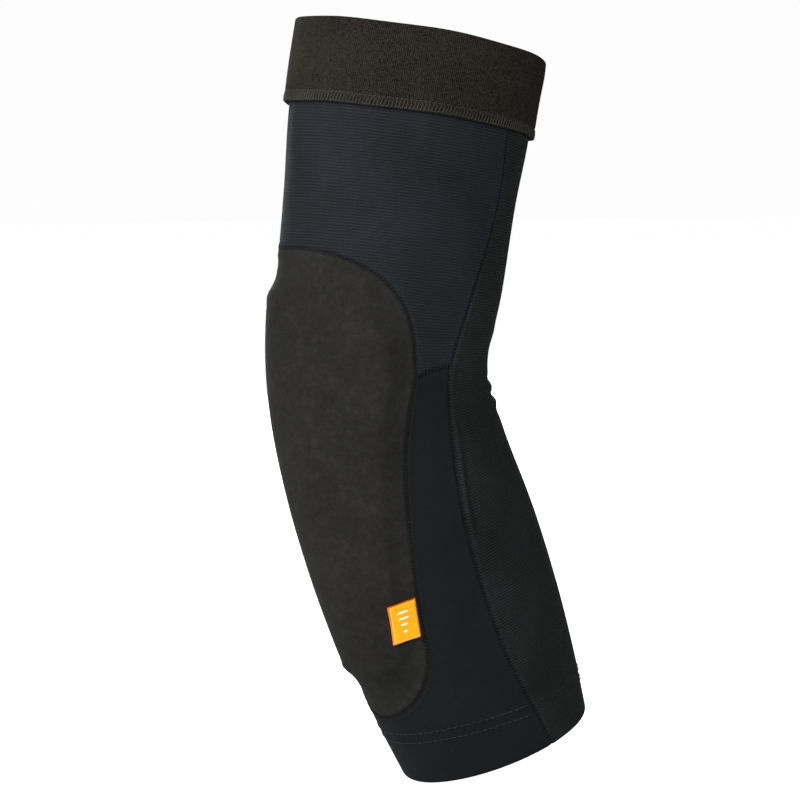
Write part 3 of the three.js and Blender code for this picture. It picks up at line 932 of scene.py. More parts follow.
class StitchTree(GrowTree):
    """A row of stitches: a short arched thread at every pitch along a path, over a core cord."""

    def __init__(self) -> None:
        """Builds the tree."""
        super().__init__(
            "stitch_row",
            {"Pitch": 0.0016, "Stitch": 0.0012, "Thread": 0.00016, "Rise": 0.00012,
             "Turn": 0.0, "Jitter": 0.05, "Core": 0.0, "Sink": 0.0008},
            {"Sides": 6, "Seed": 11},
        )
        w, given = self.wiring, self.inputs
        path = w.out("GeometryNodeMeshToCurve", {"Mesh": given["Path"]})
        points = w.out(
            "GeometryNodeResampleCurve", {"Curve": path, "Length": given["Pitch"]}, mode="LENGTH"
        )
        way = w.out("GeometryNodeInputTangent")
        outward = self.outward()
        aim = w.out(
            "FunctionNodeAxesToRotation", {"Primary Axis": outward, "Secondary Axis": way},
            primary_axis="Z", secondary_axis="X",
        )
        sway = w.out("FunctionNodeRandomValue", {
            "Min": w.math("MULTIPLY", given["Jitter"], -1.0), "Max": given["Jitter"],
            "Seed": given["Seed"],
        }, data_type="FLOAT")
        heading = w.math("ADD", given["Turn"], sway)
        turn = w.out(
            "FunctionNodeEulerToRotation", {0: w.out("ShaderNodeCombineXYZ", {"Z": heading})}
        )
        rotation = w.out(
            "FunctionNodeRotateRotation", {"Rotation": aim, "Rotate By": turn},
            rotation_space="LOCAL",
        )
        half = w.math("MULTIPLY", given["Stitch"], 0.5)
        arc = w.out("GeometryNodeCurveQuadraticBezier", {
            "Resolution": 5,
            "Start": w.out("ShaderNodeCombineXYZ", {"X": w.math("MULTIPLY", half, -1.0)}),
            "Middle": w.out("ShaderNodeCombineXYZ", {"Z": given["Rise"]}),
            "End": w.out("ShaderNodeCombineXYZ", {"X": half}),
        })
        row = w.out("GeometryNodeInstanceOnPoints", {
            "Points": points, "Instance": self.cord(arc, given["Thread"]), "Rotation": rotation,
        })
        down = w.math("MULTIPLY", given["Sink"], -1.0)
        below = w.out("ShaderNodeVectorMath", {0: outward, "Scale": down}, operation="SCALE")
        lower = w.out("GeometryNodeSetPosition", {"Geometry": path, "Offset": below})
        core = self.cord(lower, given["Core"])
        wanted = w.out(
            "FunctionNodeCompare", {"A": given["Core"], "B": 0.0}, operation="GREATER_THAN"
        )
        kept = w.out("GeometryNodeSwitch", {"Switch": wanted, "True": core}, input_type="GEOMETRY")
        joined = w.add("GeometryNodeJoinGeometry", {"Geometry": row})
        self.tree.links.new(kept, joined.inputs["Geometry"])
        self.close(joined.outputs["Geometry"])

    def cord(self, line: Any, radius: Any) -> Socket:
        """A smooth round cord along a line.

        Args:
            line: the line's curve.
            radius: the cord's radius.

        Returns:
            The cord.
        """
        ring = self.wiring.out(
            "GeometryNodeCurvePrimitiveCircle",
            {"Resolution": self.inputs["Sides"], "Radius": radius}, mode="RADIUS",
        )
        cord = self.wiring.out(
            "GeometryNodeCurveToMesh", {"Curve": line, "Profile Curve": ring, "Fill Caps": True}
        )
        return self.wiring.out("GeometryNodeSetShadeSmooth", {"Geometry": cord})


class VentTree(GrowTree):
    """Round vents cut through the foam insert at the points of a path."""

    def __init__(self) -> None:
        """Builds the tree."""
        super().__init__("pad_vents", {"Radius": 0.003, "Length": 0.03}, {"Sides": 20})
        self.open("Foam", "Object")
        w, given = self.wiring, self.inputs
        aim = w.out("FunctionNodeAlignRotationToVector", {"Vector": self.outward()}, axis="Z")
        drill = w.out("GeometryNodeMeshCylinder", {
            "Vertices": given["Sides"], "Radius": given["Radius"], "Depth": given["Length"],
        })
        drills = w.out(
            "GeometryNodeInstanceOnPoints",
            {"Points": w.out("GeometryNodeMeshToPoints", {"Mesh": given["Path"]}),
             "Instance": drill, "Rotation": aim},
        )
        real = w.out("GeometryNodeRealizeInstances", {"Geometry": drills})
        foam = w.add(
            "GeometryNodeObjectInfo", {"Object": given["Foam"]}, transform_space="ORIGINAL"
        )
        cut = w.out(
            "GeometryNodeMeshBoolean", {"Mesh 1": foam.outputs["Geometry"], "Mesh 2": real},
            operation="DIFFERENCE",
        )
        self.close(cut)


def path_object(
    name: str, form: SleeveForm, line: Array, depth: Any, closed: bool = False,
    edges: bool = True,
) -> Piece:
    """A line on the pattern as a mesh path that knows which way is out.

    Args:
        name: the object's name.
        form: the sleeve.
        line: places (across, along), mm.
        depth: height above the sleeve, mm.
        closed: whether the line joins up with its start.
        edges: whether the points are joined at all.

    Returns:
        The new object.
    """
    across, along = line.T
    points = form.point(across, along, depth)
    count = len(points)
    pairs = [(i, i + 1) for i in range(count - 1)] if edges else []
    if closed:
        pairs.append((count - 1, 0))
    mesh = bpy.data.meshes.new(name)
    mesh.from_pydata(points.tolist(), pairs, [])
    outward = mesh.attributes.new("outward", "FLOAT_VECTOR", "POINT")
    outward.data.foreach_set("vector", form.outward(across, along).astype(np.float32).ravel())
    return put(name, mesh)


# ---------------------------------------------------------------- finishes


def linear(colour: Sequence[float]) -> tuple[float, float, float, float]:
    """A display colour as the linear one that a shader takes."""
    made = [c / 12.92 if c <= 0.04045 else ((c + 0.055) / 1.055) ** 2.4 for c in colour]
    return made[0], made[1], made[2], 1.0


@dataclass(frozen=True)
class Grain:
    """A noise: grains per metre, layers of detail and how strong the finer ones are."""

    scale: float
    detail: float = 3.0
    rough: float = 0.55


@dataclass(frozen=True)
class Finish:
    """What every finish shares: its name, colours and how it takes the light."""

    name: str
    dark: Triple
    light: Triple
    roughness: float = 0.8
    specular: float = 0.07
    sheen: float = 0.02
    sheen_roughness: float = 0.45
    sheen_tint: Triple = (0.8, 0.8, 0.8)
    relief: float = 0.05
    uneven: float = 0.07
    wear: Span = (0.3, 0.7)
    tones: Span = (0.3, 0.7)

    def make(self) -> bpy.types.Material:
        """Builds the finish's nodes.

        Returns:
            The material.
        """
        material = bpy.data.materials.new(self.name)
        material.use_nodes = True
        material.node_tree.nodes.clear()
        w = Wiring(material.node_tree)
        shader = w.add("ShaderNodeBsdfPrincipled", {
            "Specular IOR Level": self.specular,
            "Sheen Weight": self.sheen,
            "Sheen Roughness": self.sheen_roughness,
            "Sheen Tint": linear(self.sheen_tint),
        })
        self.paint(w, shader)
        w.add("ShaderNodeOutputMaterial", {"Surface": shader.outputs["BSDF"]})
        material.diffuse_color = linear(self.light)
        return material

    def paint(self, w: Wiring, shader: bpy.types.Node) -> None:
        """Wires the finish's colour, roughness and relief into the shader."""
        raise NotImplementedError

    @staticmethod
    def noise(w: Wiring, grain: Grain) -> Socket:
        """Noise in the object's own space."""
        return w.add("ShaderNodeTexNoise", {
            "Vector": w.add("ShaderNodeTexCoord").outputs["Object"], "Scale": grain.scale,
            "Detail": grain.detail, "Roughness": grain.rough,
        }).outputs["Fac"]

    @staticmethod
    def pattern(w: Wiring) -> tuple[Socket, Socket]:
        """Distances across and along on the piece's pattern, metres."""
        uv = w.out("ShaderNodeUVMap", uv_map="pattern")
        parts = w.add("ShaderNodeSeparateXYZ", {"Vector": uv})
        return parts.outputs["X"], parts.outputs["Y"]

    @staticmethod
    def ribs(w: Wiring, place: Socket, pitch: float) -> Socket:
        """Round ribs at a pitch in mm, 0 in the furrows and 1 on the crests."""
        turn = w.math("MULTIPLY", place, 2 * math.pi / (pitch * MM))
        return w.math("MULTIPLY_ADD", w.math("SINE", turn), 0.5, 0.5)

    def blend(self, w: Wiring, share: Socket) -> Socket:
        """Dark to light as a share goes through the finish's range.

        Args:
            w: the material's wiring.
            share: the share.

        Returns:
            The colour.
        """
        low, high = self.tone_range()
        ramp = w.out("ShaderNodeMapRange", {"Value": share, "From Min": low, "From Max": high})
        mixed = w.add("ShaderNodeMix", {
            "Factor": ramp, "A": linear(self.dark), "B": linear(self.light),
        }, data_type="RGBA")
        return Wiring.socket(mixed.outputs, "Result")

    def tone_range(self) -> Span:
        """The tones that are drawn dark and light."""
        return self.tones

    def apply(
        self, w: Wiring, shader: bpy.types.Node, colour: Socket,
        height: Socket, wear: Socket,
    ) -> None:
        """Links colour, relief and an uneven roughness into the shader.

        Args:
            w: the material's wiring.
            shader: the shader.
            colour: its colour.
            height: its relief, 0 to 1.
            wear: the share by which it is rougher.
        """
        low, high = self.wear
        rough = w.out("ShaderNodeMapRange", {
            "Value": wear, "From Min": low, "From Max": high,
            "To Min": self.roughness - self.uneven, "To Max": self.roughness + self.uneven,
        })
        bump = w.out("ShaderNodeBump", {
            "Height": height, "Distance": self.relief * MM, "Strength": 1.0,
        })
        for key, value in (("Base Color", colour), ("Roughness", rough), ("Normal", bump)):
            w.tree.links.new(value, shader.inputs[key])


@dataclass(frozen=True)
class Knit(Finish):
    """Knitted fabric: courses that run round the sleeve and wales that run down it."""

    course: float = 1.2
    wale: float = 0.8
    relief: float = 0.12
    mottle: float = 0.3
    fuzz: float = 0.25
    wale_share: float = 0.3
    speck: float = 0.15
    # how strongly painted shade darkens the furrows between the ribs and lightens their crests
    furrow_painted_shade: float = 0.6
    tone_span: float = 0.75
    wander: float = 0.6
    drift: Grain = Grain(60.0, 2.0)
    fine: Grain = Grain(2600.0, 2.0)
    cloud: Grain = Grain(32.0, 4.0, 0.6)
    flecks: Grain = Grain(1100.0, 4.0, 0.75)

    def tone_range(self) -> Span:
        """The tones that are drawn dark and light, above those of mottle and specks."""
        base = self.mottle * 1.5 + self.speck * 2
        return base, base + self.tone_span

    def paint(self, w: Wiring, shader: bpy.types.Node) -> None:
        """Loops of the knit with a little fuzz, uneven dye and painted shade in the rib furrows.

        Args:
            w: the material's wiring.
            shader: its shader.
        """
        across, along = self.pattern(w)
        drift = w.math("MULTIPLY", self.noise(w, self.drift), self.wander * MM)
        course = self.ribs(w, w.math("ADD", along, drift), self.course)
        wale = self.ribs(w, w.math("ADD", across, drift), self.wale)
        cloud = self.noise(w, self.cloud)
        wales = w.math("MULTIPLY", wale, self.wale_share)
        loops = w.math("MULTIPLY_ADD", course, 1 - self.wale_share, wales)
        height = w.math("MULTIPLY_ADD", self.noise(w, self.fine), self.fuzz, loops)
        specks = w.math("MULTIPLY", self.noise(w, self.flecks), self.speck * 4)
        dyed = w.math("MULTIPLY_ADD", cloud, self.mottle * 3, specks)
        # painted shade: the colour follows the rib height, darker in the furrows and lighter on the
        # crests
        tone = w.math("ADD", dyed, w.math("MULTIPLY", height, self.furrow_painted_shade))
        self.apply(w, shader, self.blend(w, tone), height, cloud)


@dataclass(frozen=True)
class Suede(Finish):
    """Brushed hard-wearing fabric: a short nap with scuffs."""

    relief: float = 0.1
    tones: Span = (0.4, 1.05)
    nap: Grain = Grain(1500.0, 3.0, 0.7)
    grain: Grain = Grain(420.0, 3.0, 0.6)
    cloud: Grain = Grain(21.0, 5.0, 0.6)
    scuff: Grain = Grain(130.0, 6.0, 0.75)
    scuff_range: Triple = (0.5, 0.75, 0.22)
    nap_share: float = 0.6
    grain_share: float = 0.5
    cloud_shade: float = 0.55
    nap_shade: float = 0.7

    def paint(self, w: Wiring, shader: bpy.types.Node) -> None:
        """Nap, brushed streaks and worn places.

        Args:
            w: the material's wiring.
            shader: its shader.
        """
        low, high, most = self.scuff_range
        worn = w.out("ShaderNodeMapRange", {
            "Value": self.noise(w, self.scuff), "From Min": low, "From Max": high, "To Max": most,
        })
        cloud = self.noise(w, self.cloud)
        grain = w.math("MULTIPLY", self.noise(w, self.grain), self.grain_share)
        height = w.math("MULTIPLY_ADD", self.noise(w, self.nap), self.nap_share, grain)
        fine = w.math("ADD", w.math("MULTIPLY", height, self.nap_shade), worn)
        tone = w.math("ADD", w.math("MULTIPLY", cloud, self.cloud_shade), fine)
        self.apply(w, shader, self.blend(w, tone), height, cloud)


@dataclass(frozen=True)
class Netting(Finish):
    """Lining net: small round holes on a staggered grid."""

    pitch: float = 2.2
    relief: float = 0.3
    tones: Span = (0.35, 0.95)
    cloud: Grain = Grain(40.0)

    def paint(self, w: Wiring, shader: bpy.types.Node) -> None:
        """Dark hollows between lighter threads.

        Args:
            w: the material's wiring.
            shader: its shader.
        """
        across, along = self.pattern(w)
        one = self.ribs(w, w.math("ADD", across, along), self.pitch)
        two = self.ribs(w, w.math("SUBTRACT", across, along), self.pitch)
        net = w.math("MAXIMUM", one, two)
        self.apply(w, shader, self.blend(w, net), net, self.noise(w, self.cloud))


@dataclass(frozen=True)
class Moulded(Finish):
    """Foam, silicone or print: one material through and through, with a fine grain."""

    grain: float = 900.0
    grain_shade: float = 0.4
    cloud: Grain = Grain(45.0, 3.0)

    def paint(self, w: Wiring, shader: bpy.types.Node) -> None:
        """Fine grain over soft clouds.

        Args:
            w: the material's wiring.
            shader: its shader.
        """
        grain = self.noise(w, Grain(self.grain, 3.0, 0.6))
        cloud = self.noise(w, self.cloud)
        soft = w.math("MULTIPLY", cloud, 1 - self.grain_shade)
        tone = w.math("ADD", w.math("MULTIPLY", grain, self.grain_shade), soft)
        self.apply(w, shader, self.blend(w, tone), grain, cloud)


@dataclass(frozen=True)
class EdgeAndFoldTint:
    """A tint along the edges and the fold of a tape, painted light at the fold: how far it reaches
    in mm, its colour and its strength.
    """

    reach: float
    tint: Triple
    share: float


@dataclass(frozen=True)
class Tape(Finish):
    """Woven tape: a fine twill, a deep rim along its edges and fold, and a paler line inside it; at
    the fold the rim is painted shade and the paler line painted highlight.
    """

    height: float = 16.5
    fold: float = 12.2
    # at the fold the first, paler tint is painted highlight and the second, deeper one painted
    # shade; the side edges get the same tints
    edge_tints_and_fold_painted_light: tuple[EdgeAndFoldTint, ...] = (
        EdgeAndFoldTint(1.1, (1.0, 0.78, 0.3), 0.6), EdgeAndFoldTint(0.5, (0.9, 0.36, 0.02), 0.9),
    )
    twill: float = 0.5
    twill_shade: float = 0.35
    tones: Span = (0.3, 0.75)
    cloud: Grain = Grain(160.0, 3.0)

    @staticmethod
    def edged(
        w: Wiring, colour: Socket, inside: Socket, edging: EdgeAndFoldTint,
    ) -> Socket:
        """Mixes a tint into a colour near an edge; along the fold the tint is painted light.

        Args:
            w: the material's wiring.
            colour: the colour so far.
            inside: distance from the edge, metres.
            edging: the tint.

        Returns:
            The mixed colour.
        """
        near = w.out("ShaderNodeMapRange", {
            "Value": inside, "From Min": edging.reach * MM, "From Max": edging.reach * 0.5 * MM,
            "To Max": edging.share,
        })
        mixed = w.add("ShaderNodeMix", {"Factor": near, "A": colour, "B": linear(edging.tint)},
                      data_type="RGBA")
        return Wiring.socket(mixed.outputs, "Result")

    def paint(self, w: Wiring, shader: bpy.types.Node) -> None:
        """Diagonal twill inside the tinted edges, with painted highlight and painted shade along
        the fold.

        Args:
            w: the material's wiring.
            shader: its shader.
        """
        run, down = self.pattern(w)
        twill = self.ribs(w, w.math("ADD", run, down), self.twill)
        cloud = self.noise(w, self.cloud)
        soft = w.math("MULTIPLY", cloud, 1 - self.twill_shade)
        tone = w.math("ADD", w.math("MULTIPLY", twill, self.twill_shade), soft)
        colour = self.blend(w, tone)
        half = self.height / 2 * MM
        side = w.math("SUBTRACT", half, w.math("ABSOLUTE", w.math("SUBTRACT", down, half)))
        fold = w.math("ABSOLUTE", w.math("SUBTRACT", run, self.fold * MM))
        inside = w.math("MINIMUM", side, fold)
        # painted light along the fold: a paler line of painted highlight beside a deep rim of
        # painted shade
        for edging in self.edge_tints_and_fold_painted_light:
            colour = self.edged(w, colour, inside, edging)
        self.apply(w, shader, colour, twill, cloud)


@dataclass
class Finishes:
    """Every finish of the guard, made once."""

    upper_knit: Finish = Knit(
        "blue_black_ribbed_knit", (0.06, 0.067, 0.077), (0.135, 0.147, 0.163), roughness=0.75,
        relief=0.12,
    )
    forearm_knit: Finish = Knit(
        "black_smooth_knit", (0.055, 0.06, 0.064), (0.1, 0.107, 0.112), course=0.7, wale=0.6,
        relief=0.06,
    )
    crook_knit: Finish = Knit(
        "black_ribbed_stretch_knit", (0.047, 0.054, 0.055), (0.145, 0.157, 0.157), relief=0.2,
    )
    cover: Finish = Suede(
        "brushed_cover_fabric", (0.078, 0.078, 0.074), (0.176, 0.174, 0.165), roughness=0.88,
        specular=0.05,
    )
    cuff: Finish = Knit(
        "brushed_cuff_elastic", (0.025, 0.024, 0.018), (0.168, 0.162, 0.138), course=0.9, wale=0.75,
        relief=0.2, mottle=0.25, fuzz=0.6, wale_share=0.7, speck=0.6, roughness=0.94,
        specular=0.03,
    )
    lining: Finish = Netting("lining_net", (0.05, 0.052, 0.056), (0.17, 0.175, 0.18))
    foam: Finish = Moulded(
        "orange_impact_foam", (0.78, 0.36, 0.06), (0.9, 0.46, 0.12), roughness=0.75, sheen=0.0,
    )
    silicone: Finish = Moulded(
        "grip_silicone", (0.16, 0.17, 0.18), (0.22, 0.23, 0.245), roughness=0.38, specular=0.5,
        sheen=0.0,
    )
    thread: Finish = Moulded(
        "black_sewing_thread", (0.05, 0.05, 0.051), (0.165, 0.164, 0.162), roughness=0.6,
        grain=4200.0,
    )
    hem_thread: Finish = Moulded(
        "grey_twin_needle_thread", (0.12, 0.124, 0.128), (0.22, 0.224, 0.23), roughness=0.6,
        grain=4200.0,
    )
    binding_thread: Finish = Moulded(
        "brown_black_overlock_thread", (0.11, 0.107, 0.095), (0.29, 0.282, 0.26), roughness=0.7,
        grain=3800.0,
    )
    facing: Finish = Knit(
        "hem_facing_knit", (0.08, 0.085, 0.09), (0.13, 0.138, 0.145), course=0.7, wale=0.6,
        relief=0.06,
    )
    tape: Finish = Tape(
        "orange_woven_tape", (0.95, 0.6, 0.0), (1.0, 0.7, 0.0), roughness=0.5, specular=0.2,
        sheen=0.0,
    )
    mark: Finish = Moulded(
        "white_tag_print", (0.93, 0.9, 0.84), (0.98, 0.96, 0.92), roughness=0.5, sheen=0.0,
    )
    made: dict[str, bpy.types.Material] = field(default_factory=dict)

    def get(self, key: str) -> bpy.types.Material:
        """The material of a finish by its field name."""
        if key not in self.made:
            self.made[key] = getattr(self, key).make()
        return self.made[key]


# ---------------------------------------------------------------- fitting pieces to the frame


@dataclass(frozen=True)
class ElbowBend:
    """The stretch of sleeve over which fabric turns between the two bodies."""

    anchor: Triple
    reach: float = 0.066
    lean: float = 7.2

    def end(self, sign: int) -> Triple:
        """The start of the bend for sign -1 and its end for sign 1, in metres."""
        turn = math.radians(self.lean)
        x, y, z = self.anchor
        return x + sign * self.reach * math.sin(turn), y, z - sign * self.reach * math.cos(turn)


@dataclass
class Fitter:
    """Gives a finished piece its finish, its body and the CAD nodes that it stands for."""

    finishes: Finishes
    bend: ElbowBend

    def fit(
        self, obj: Piece, finish: str, slot: str, body: Body, nodes: Sequence[str] = (),
    ) -> Piece:
        """Dresses a piece and ties it to its body; a piece across the elbow is only baked in place
        and tied to neither body.

        Args:
            obj: the piece, whose mesh is final.
            finish: the finish's field name.
            slot: the record's material slot; not used.
            body: what it moves with.
            nodes: the CAD nodes that it replaces.

        Returns:
            The same piece.
        """
        obj.data.materials.clear()
        obj.data.materials.append(self.finishes.get(finish))
        if body is Body.ACROSS_ELBOW:
            self.bend.end(-1)
            self.bend.end(1)
            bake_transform(obj)
        else:
            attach(obj, body.value)
        if nodes:
            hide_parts(*nodes)
        LOG.info("%s: %d faces, %s", obj.name, len(obj.data.polygons), body.value)
        return obj

    def declare(
        self, obj: Piece, size: Span, area: float | None = None,
        held: str = "stretched", with_pieces: Sequence[Piece] = (),
    ) -> None:
        """Logs the size of a cloth piece's cut.

        Args:
            obj: the piece.
            size: width and length of its cut, metres.
            area: area of its cut, square metres, where that isn't a rectangle; not used.
            held: how the cloth is held; not used.
            with_pieces: other pieces that are fixed on it; not used.
        """
        LOG.info("%s: cut %.0f x %.0f mm", obj.name, size[0] / MM, size[1] / MM)


# ---------------------------------------------------------------- knitted panels


@dataclass
class Panels:
    """The three knitted panels of the sleeve."""

    form: SleeveForm
    pattern: Pattern
    relief: Relief
    fitter: Fitter
    thickness: float = 1.2
    gap: float = 0.05
    top: float = -111.0
    turned_edge: float = 1.3
    fine: float = 0.35
    cell: float = 1.9
    foot_turn: float = 0.14
    corner: float = 0.32
    upper_grid: Span = (190.0, 96.0)
    forearm_grid: Span = (520.0, 60.0)
    forearm_cells: Span = (1.0, 2.6)
    crook_grid: Span = (130.0, 278.0)
    fold_depth: float = 0.8
    backing: float = 0.3

    def outer(self, across: Array, along: Array) -> Array:
        """Outer face with the fold of the hem at the bottom, mm."""
        past = np.clip((along - self.form.lower_length) / self.turned_edge + 1, 0, 1)
        fold = self.thickness * self.fold_depth * (1 - np.sqrt(1 - past**2))
        return self.relief.knit(across, along) - fold

    def sew(self, name: str, cut: Cut) -> Piece:
        """A panel of that cut."""
        outer = self.outer(cut.across, cut.along)
        inner = np.minimum(outer, self.backing) - self.thickness
        return slab(name, self.form, cut, outer, inner)

    def shares(self, grid: Span) -> tuple[Array, Array]:
        """Shares of a grid's columns and rows, from its width and length in mm."""
        return tuple(graded(length, self.fine, self.cell) for length in grid)

    def cross_end(self) -> float:
        """Where the cross seams meet the long seams, across."""
        return self.pattern.long_seam(np.array(-self.pattern.cross_rise)) - self.gap

    def upper_cut(self) -> Cut:
        """Grid of the upper arm panel, arched over the cover.

        Returns:
            The cut.
        """
        p, gap, turn = self.pattern, self.gap, self.foot_turn
        u, v = self.shares(self.upper_grid)
        share = (u - turn) / (1 - 2 * turn)
        arch = p.arch(np.clip(2 * share - 1, -1, 1), gap, gap)
        near = np.minimum(u, 1 - u)
        cross = p.cross(1 - np.clip(near / turn, 0, 1), 1)
        wide = np.clip(cross[:, 0], p.cover_half + gap, self.cross_end())
        cross[:, 0] = wide * np.where(u < 0.5, -1, 1)
        foot = np.where((near < turn)[:, None], cross, arch)
        foot[:, 1] = np.minimum(foot[:, 1], 0) - gap
        along = lerp(self.top, foot[0, 1], v)
        left, right = p.long(along, -1, -gap), p.long(along, 1, -gap)
        head = lerp(left[0], right[0], u[:, None])
        return Cut(*coons(head, foot, left, right, u, v))

    def forearm_cut(self) -> Cut:
        """Grid of the forearm panel, a U round the lower part of the cover.

        Returns:
            The cut.
        """
        p, gap, corner = self.pattern, self.gap, self.corner
        u = graded(self.forearm_grid[0], *self.forearm_cells)
        v = graded(self.forearm_grid[1], self.fine, self.cell)
        near = np.clip(np.minimum(u, 1 - u) / corner, 0, 1)
        sign = np.where(u < 0.5, -1.0, 1.0)
        middle = np.clip((u - corner) / (1 - 2 * corner), 0, 1)
        bent = (np.minimum(u, 1 - u) > corner)[:, None]
        down = lerp(gap, p.taper_end, near)
        inner = pair(sign * (p.half_at(down) + gap), down)
        inner = np.where(bent, p.tip(2 * middle - 1, gap, gap), inner)
        along = lerp(gap - p.cross_rise, self.form.lower_length, near)
        outer = pair(sign * (p.long_seam(along) - gap), along)
        wide = p.long_seam(np.array(self.form.lower_length)) - gap
        hem = pair((2 * middle - 1) * wide, self.form.lower_length)
        outer = np.where(bent, hem, outer)
        edges = []
        for side in (-1, 1):
            edge = p.cross(1 - v, side)
            wide = np.clip(np.abs(edge[:, 0]), p.cover_half + gap, self.cross_end())
            edges.append(pair(side * wide, edge[:, 1] + gap))
        return Cut(*coons(outer, inner, *edges, u, v))

    def crook_cut(self) -> Cut:
        """Grid of the crook panel, from under the cuff to the hem.

        Returns:
            The cut.
        """
        u, v = self.shares(self.crook_grid)
        along = lerp(self.top, self.form.lower_length, v)
        start = self.pattern.long_seam(along) + self.gap
        across = lerp(start[:, None], (2 * self.form.half_girth - start)[:, None], u[None])
        return Cut(across, np.broadcast_to(along[:, None], across.shape).copy())

    def build(self) -> None:
        """Makes the three panels."""
        rows = (
            ("upper_arm_fabric", self.upper_cut(), "upper_knit", ("upper_arm_panel",)),
            ("forearm_fabric", self.forearm_cut(), "forearm_knit", ("forearm_panel",)),
            ("crook_fabric", self.crook_cut(), "crook_knit",
             ("crook_panel_upper", "crook_panel_lower")),
        )
        for name, cut, knit, nodes in rows:
            piece = self.fitter.fit(self.sew(name, cut), knit, knit, Body.ACROSS_ELBOW, nodes)
            self.fitter.declare(piece, cut.size, cut.area)


# ---------------------------------------------------------------- cloth simulation


def regrid(values: Array, old: tuple[Array, Array],
           new: tuple[Array, Array]) -> Array:
    """Values of one grid at the shares of another, by smooth curves.

    Args:
        values: one value for each row and column of the old grid.
        old: shares of the old grid's columns and rows.
        new: shares of the new grid's columns and rows.

    Returns:
        One value for each row and column of the new grid.
    """
    weights = []
    for places, wanted in zip(old, new):
        basis = np.eye(len(places))
        weights.append(np.stack(
            [Stations(tuple(zip(places, row)))(wanted) for row in basis], axis=-1
        ))
    columns, rows = weights
    return rows @ values @ columns.T


@dataclass(frozen=True)
class ClothPress:
    """Draws a sewn-down sheet tight over a block by Blender's cloth simulation.

    The edge is sewn down, the middle is held on the block by goal springs, and the fabric between
    them finds its own shape.
    """

    frames: int = 20
    cap: float = 1.6
    pressure: float = 3.0
    shrink: float = 0.02
    tension: float = 12.0
    bending: float = 0.3
    hold: float = 4.0
    quality: int = 8

    @staticmethod
    def sheet(name: str, points: Array) -> Piece:
        """A one-sided grid of faces over rows of points, facing away from the arm.

        Args:
            name: the object's name.
            points: rows of points in metres.

        Returns:
            The new object.
        """
        rows, columns = points.shape[:2]
        index = np.arange(rows * columns).reshape(rows, columns)
        faces = np.stack([index[:-1, :-1], index[1:, :-1], index[1:, 1:], index[:-1, 1:]], -1)
        mesh = bpy.data.meshes.new(name)
        mesh.from_pydata(points.reshape(-1, 3).tolist(), [], faces.reshape(-1, 4).tolist())
        return put(name, mesh)

    def press(self, form: SleeveForm, cut: Cut, block: Array, held: Array) -> Array:
        """Settles a sheet whose edge is sewn down on a block.

        Args:
            form: the sleeve.
            cut: an even grid of the sheet on the pattern.
            block: height of the block under each point, mm.
            held: how firmly the sheet rests on the block, 0 to 1.

        Returns:
            Height of the settled sheet above the sleeve, mm, at each point.
        """
        scene = bpy.context.scene
        start = form.point(cut.across, cut.along, block)
        cloth = self.sheet("cloth", start)
        sewn = cloth.vertex_groups.new(name="sewn")
        firm = held.copy()
        firm[0] = firm[-1] = 1.0
        firm[:, 0] = firm[:, -1] = 1.0
        for i, weight in enumerate(firm.ravel()):
            sewn.add([i], float(weight), "REPLACE")
        modifier = cloth.modifiers.new("cloth", "CLOTH")
        settings = modifier.settings
        settings.quality = self.quality
        settings.tension_stiffness = settings.compression_stiffness = self.tension
        settings.bending_stiffness = self.bending
        settings.vertex_group_mass = "sewn"
        settings.pin_stiffness = self.hold
        settings.shrink_min = self.shrink
        settings.use_pressure = True
        settings.uniform_pressure_force = self.pressure
        settings.effector_weights.gravity = 0.0
        modifier.collision_settings.use_collision = False
        modifier.point_cache.frame_end = self.frames
        for number in range(1, self.frames + 1):
            scene.frame_set(number)
        settled = cloth.evaluated_get(bpy.context.evaluated_depsgraph_get())
        place = np.empty(block.size * 3, np.float32)
        settled.data.vertices.foreach_get("co", place)
        scene.frame_set(1)
        moved = place.reshape(start.shape) - start
        bpy.data.objects.remove(cloth)
        lift = (moved * form.outward(cut.across, cut.along)).sum(axis=-1) / MM
        return block + np.clip(lift, -self.cap, self.cap)


# ---------------------------------------------------------------- pad and its pocket


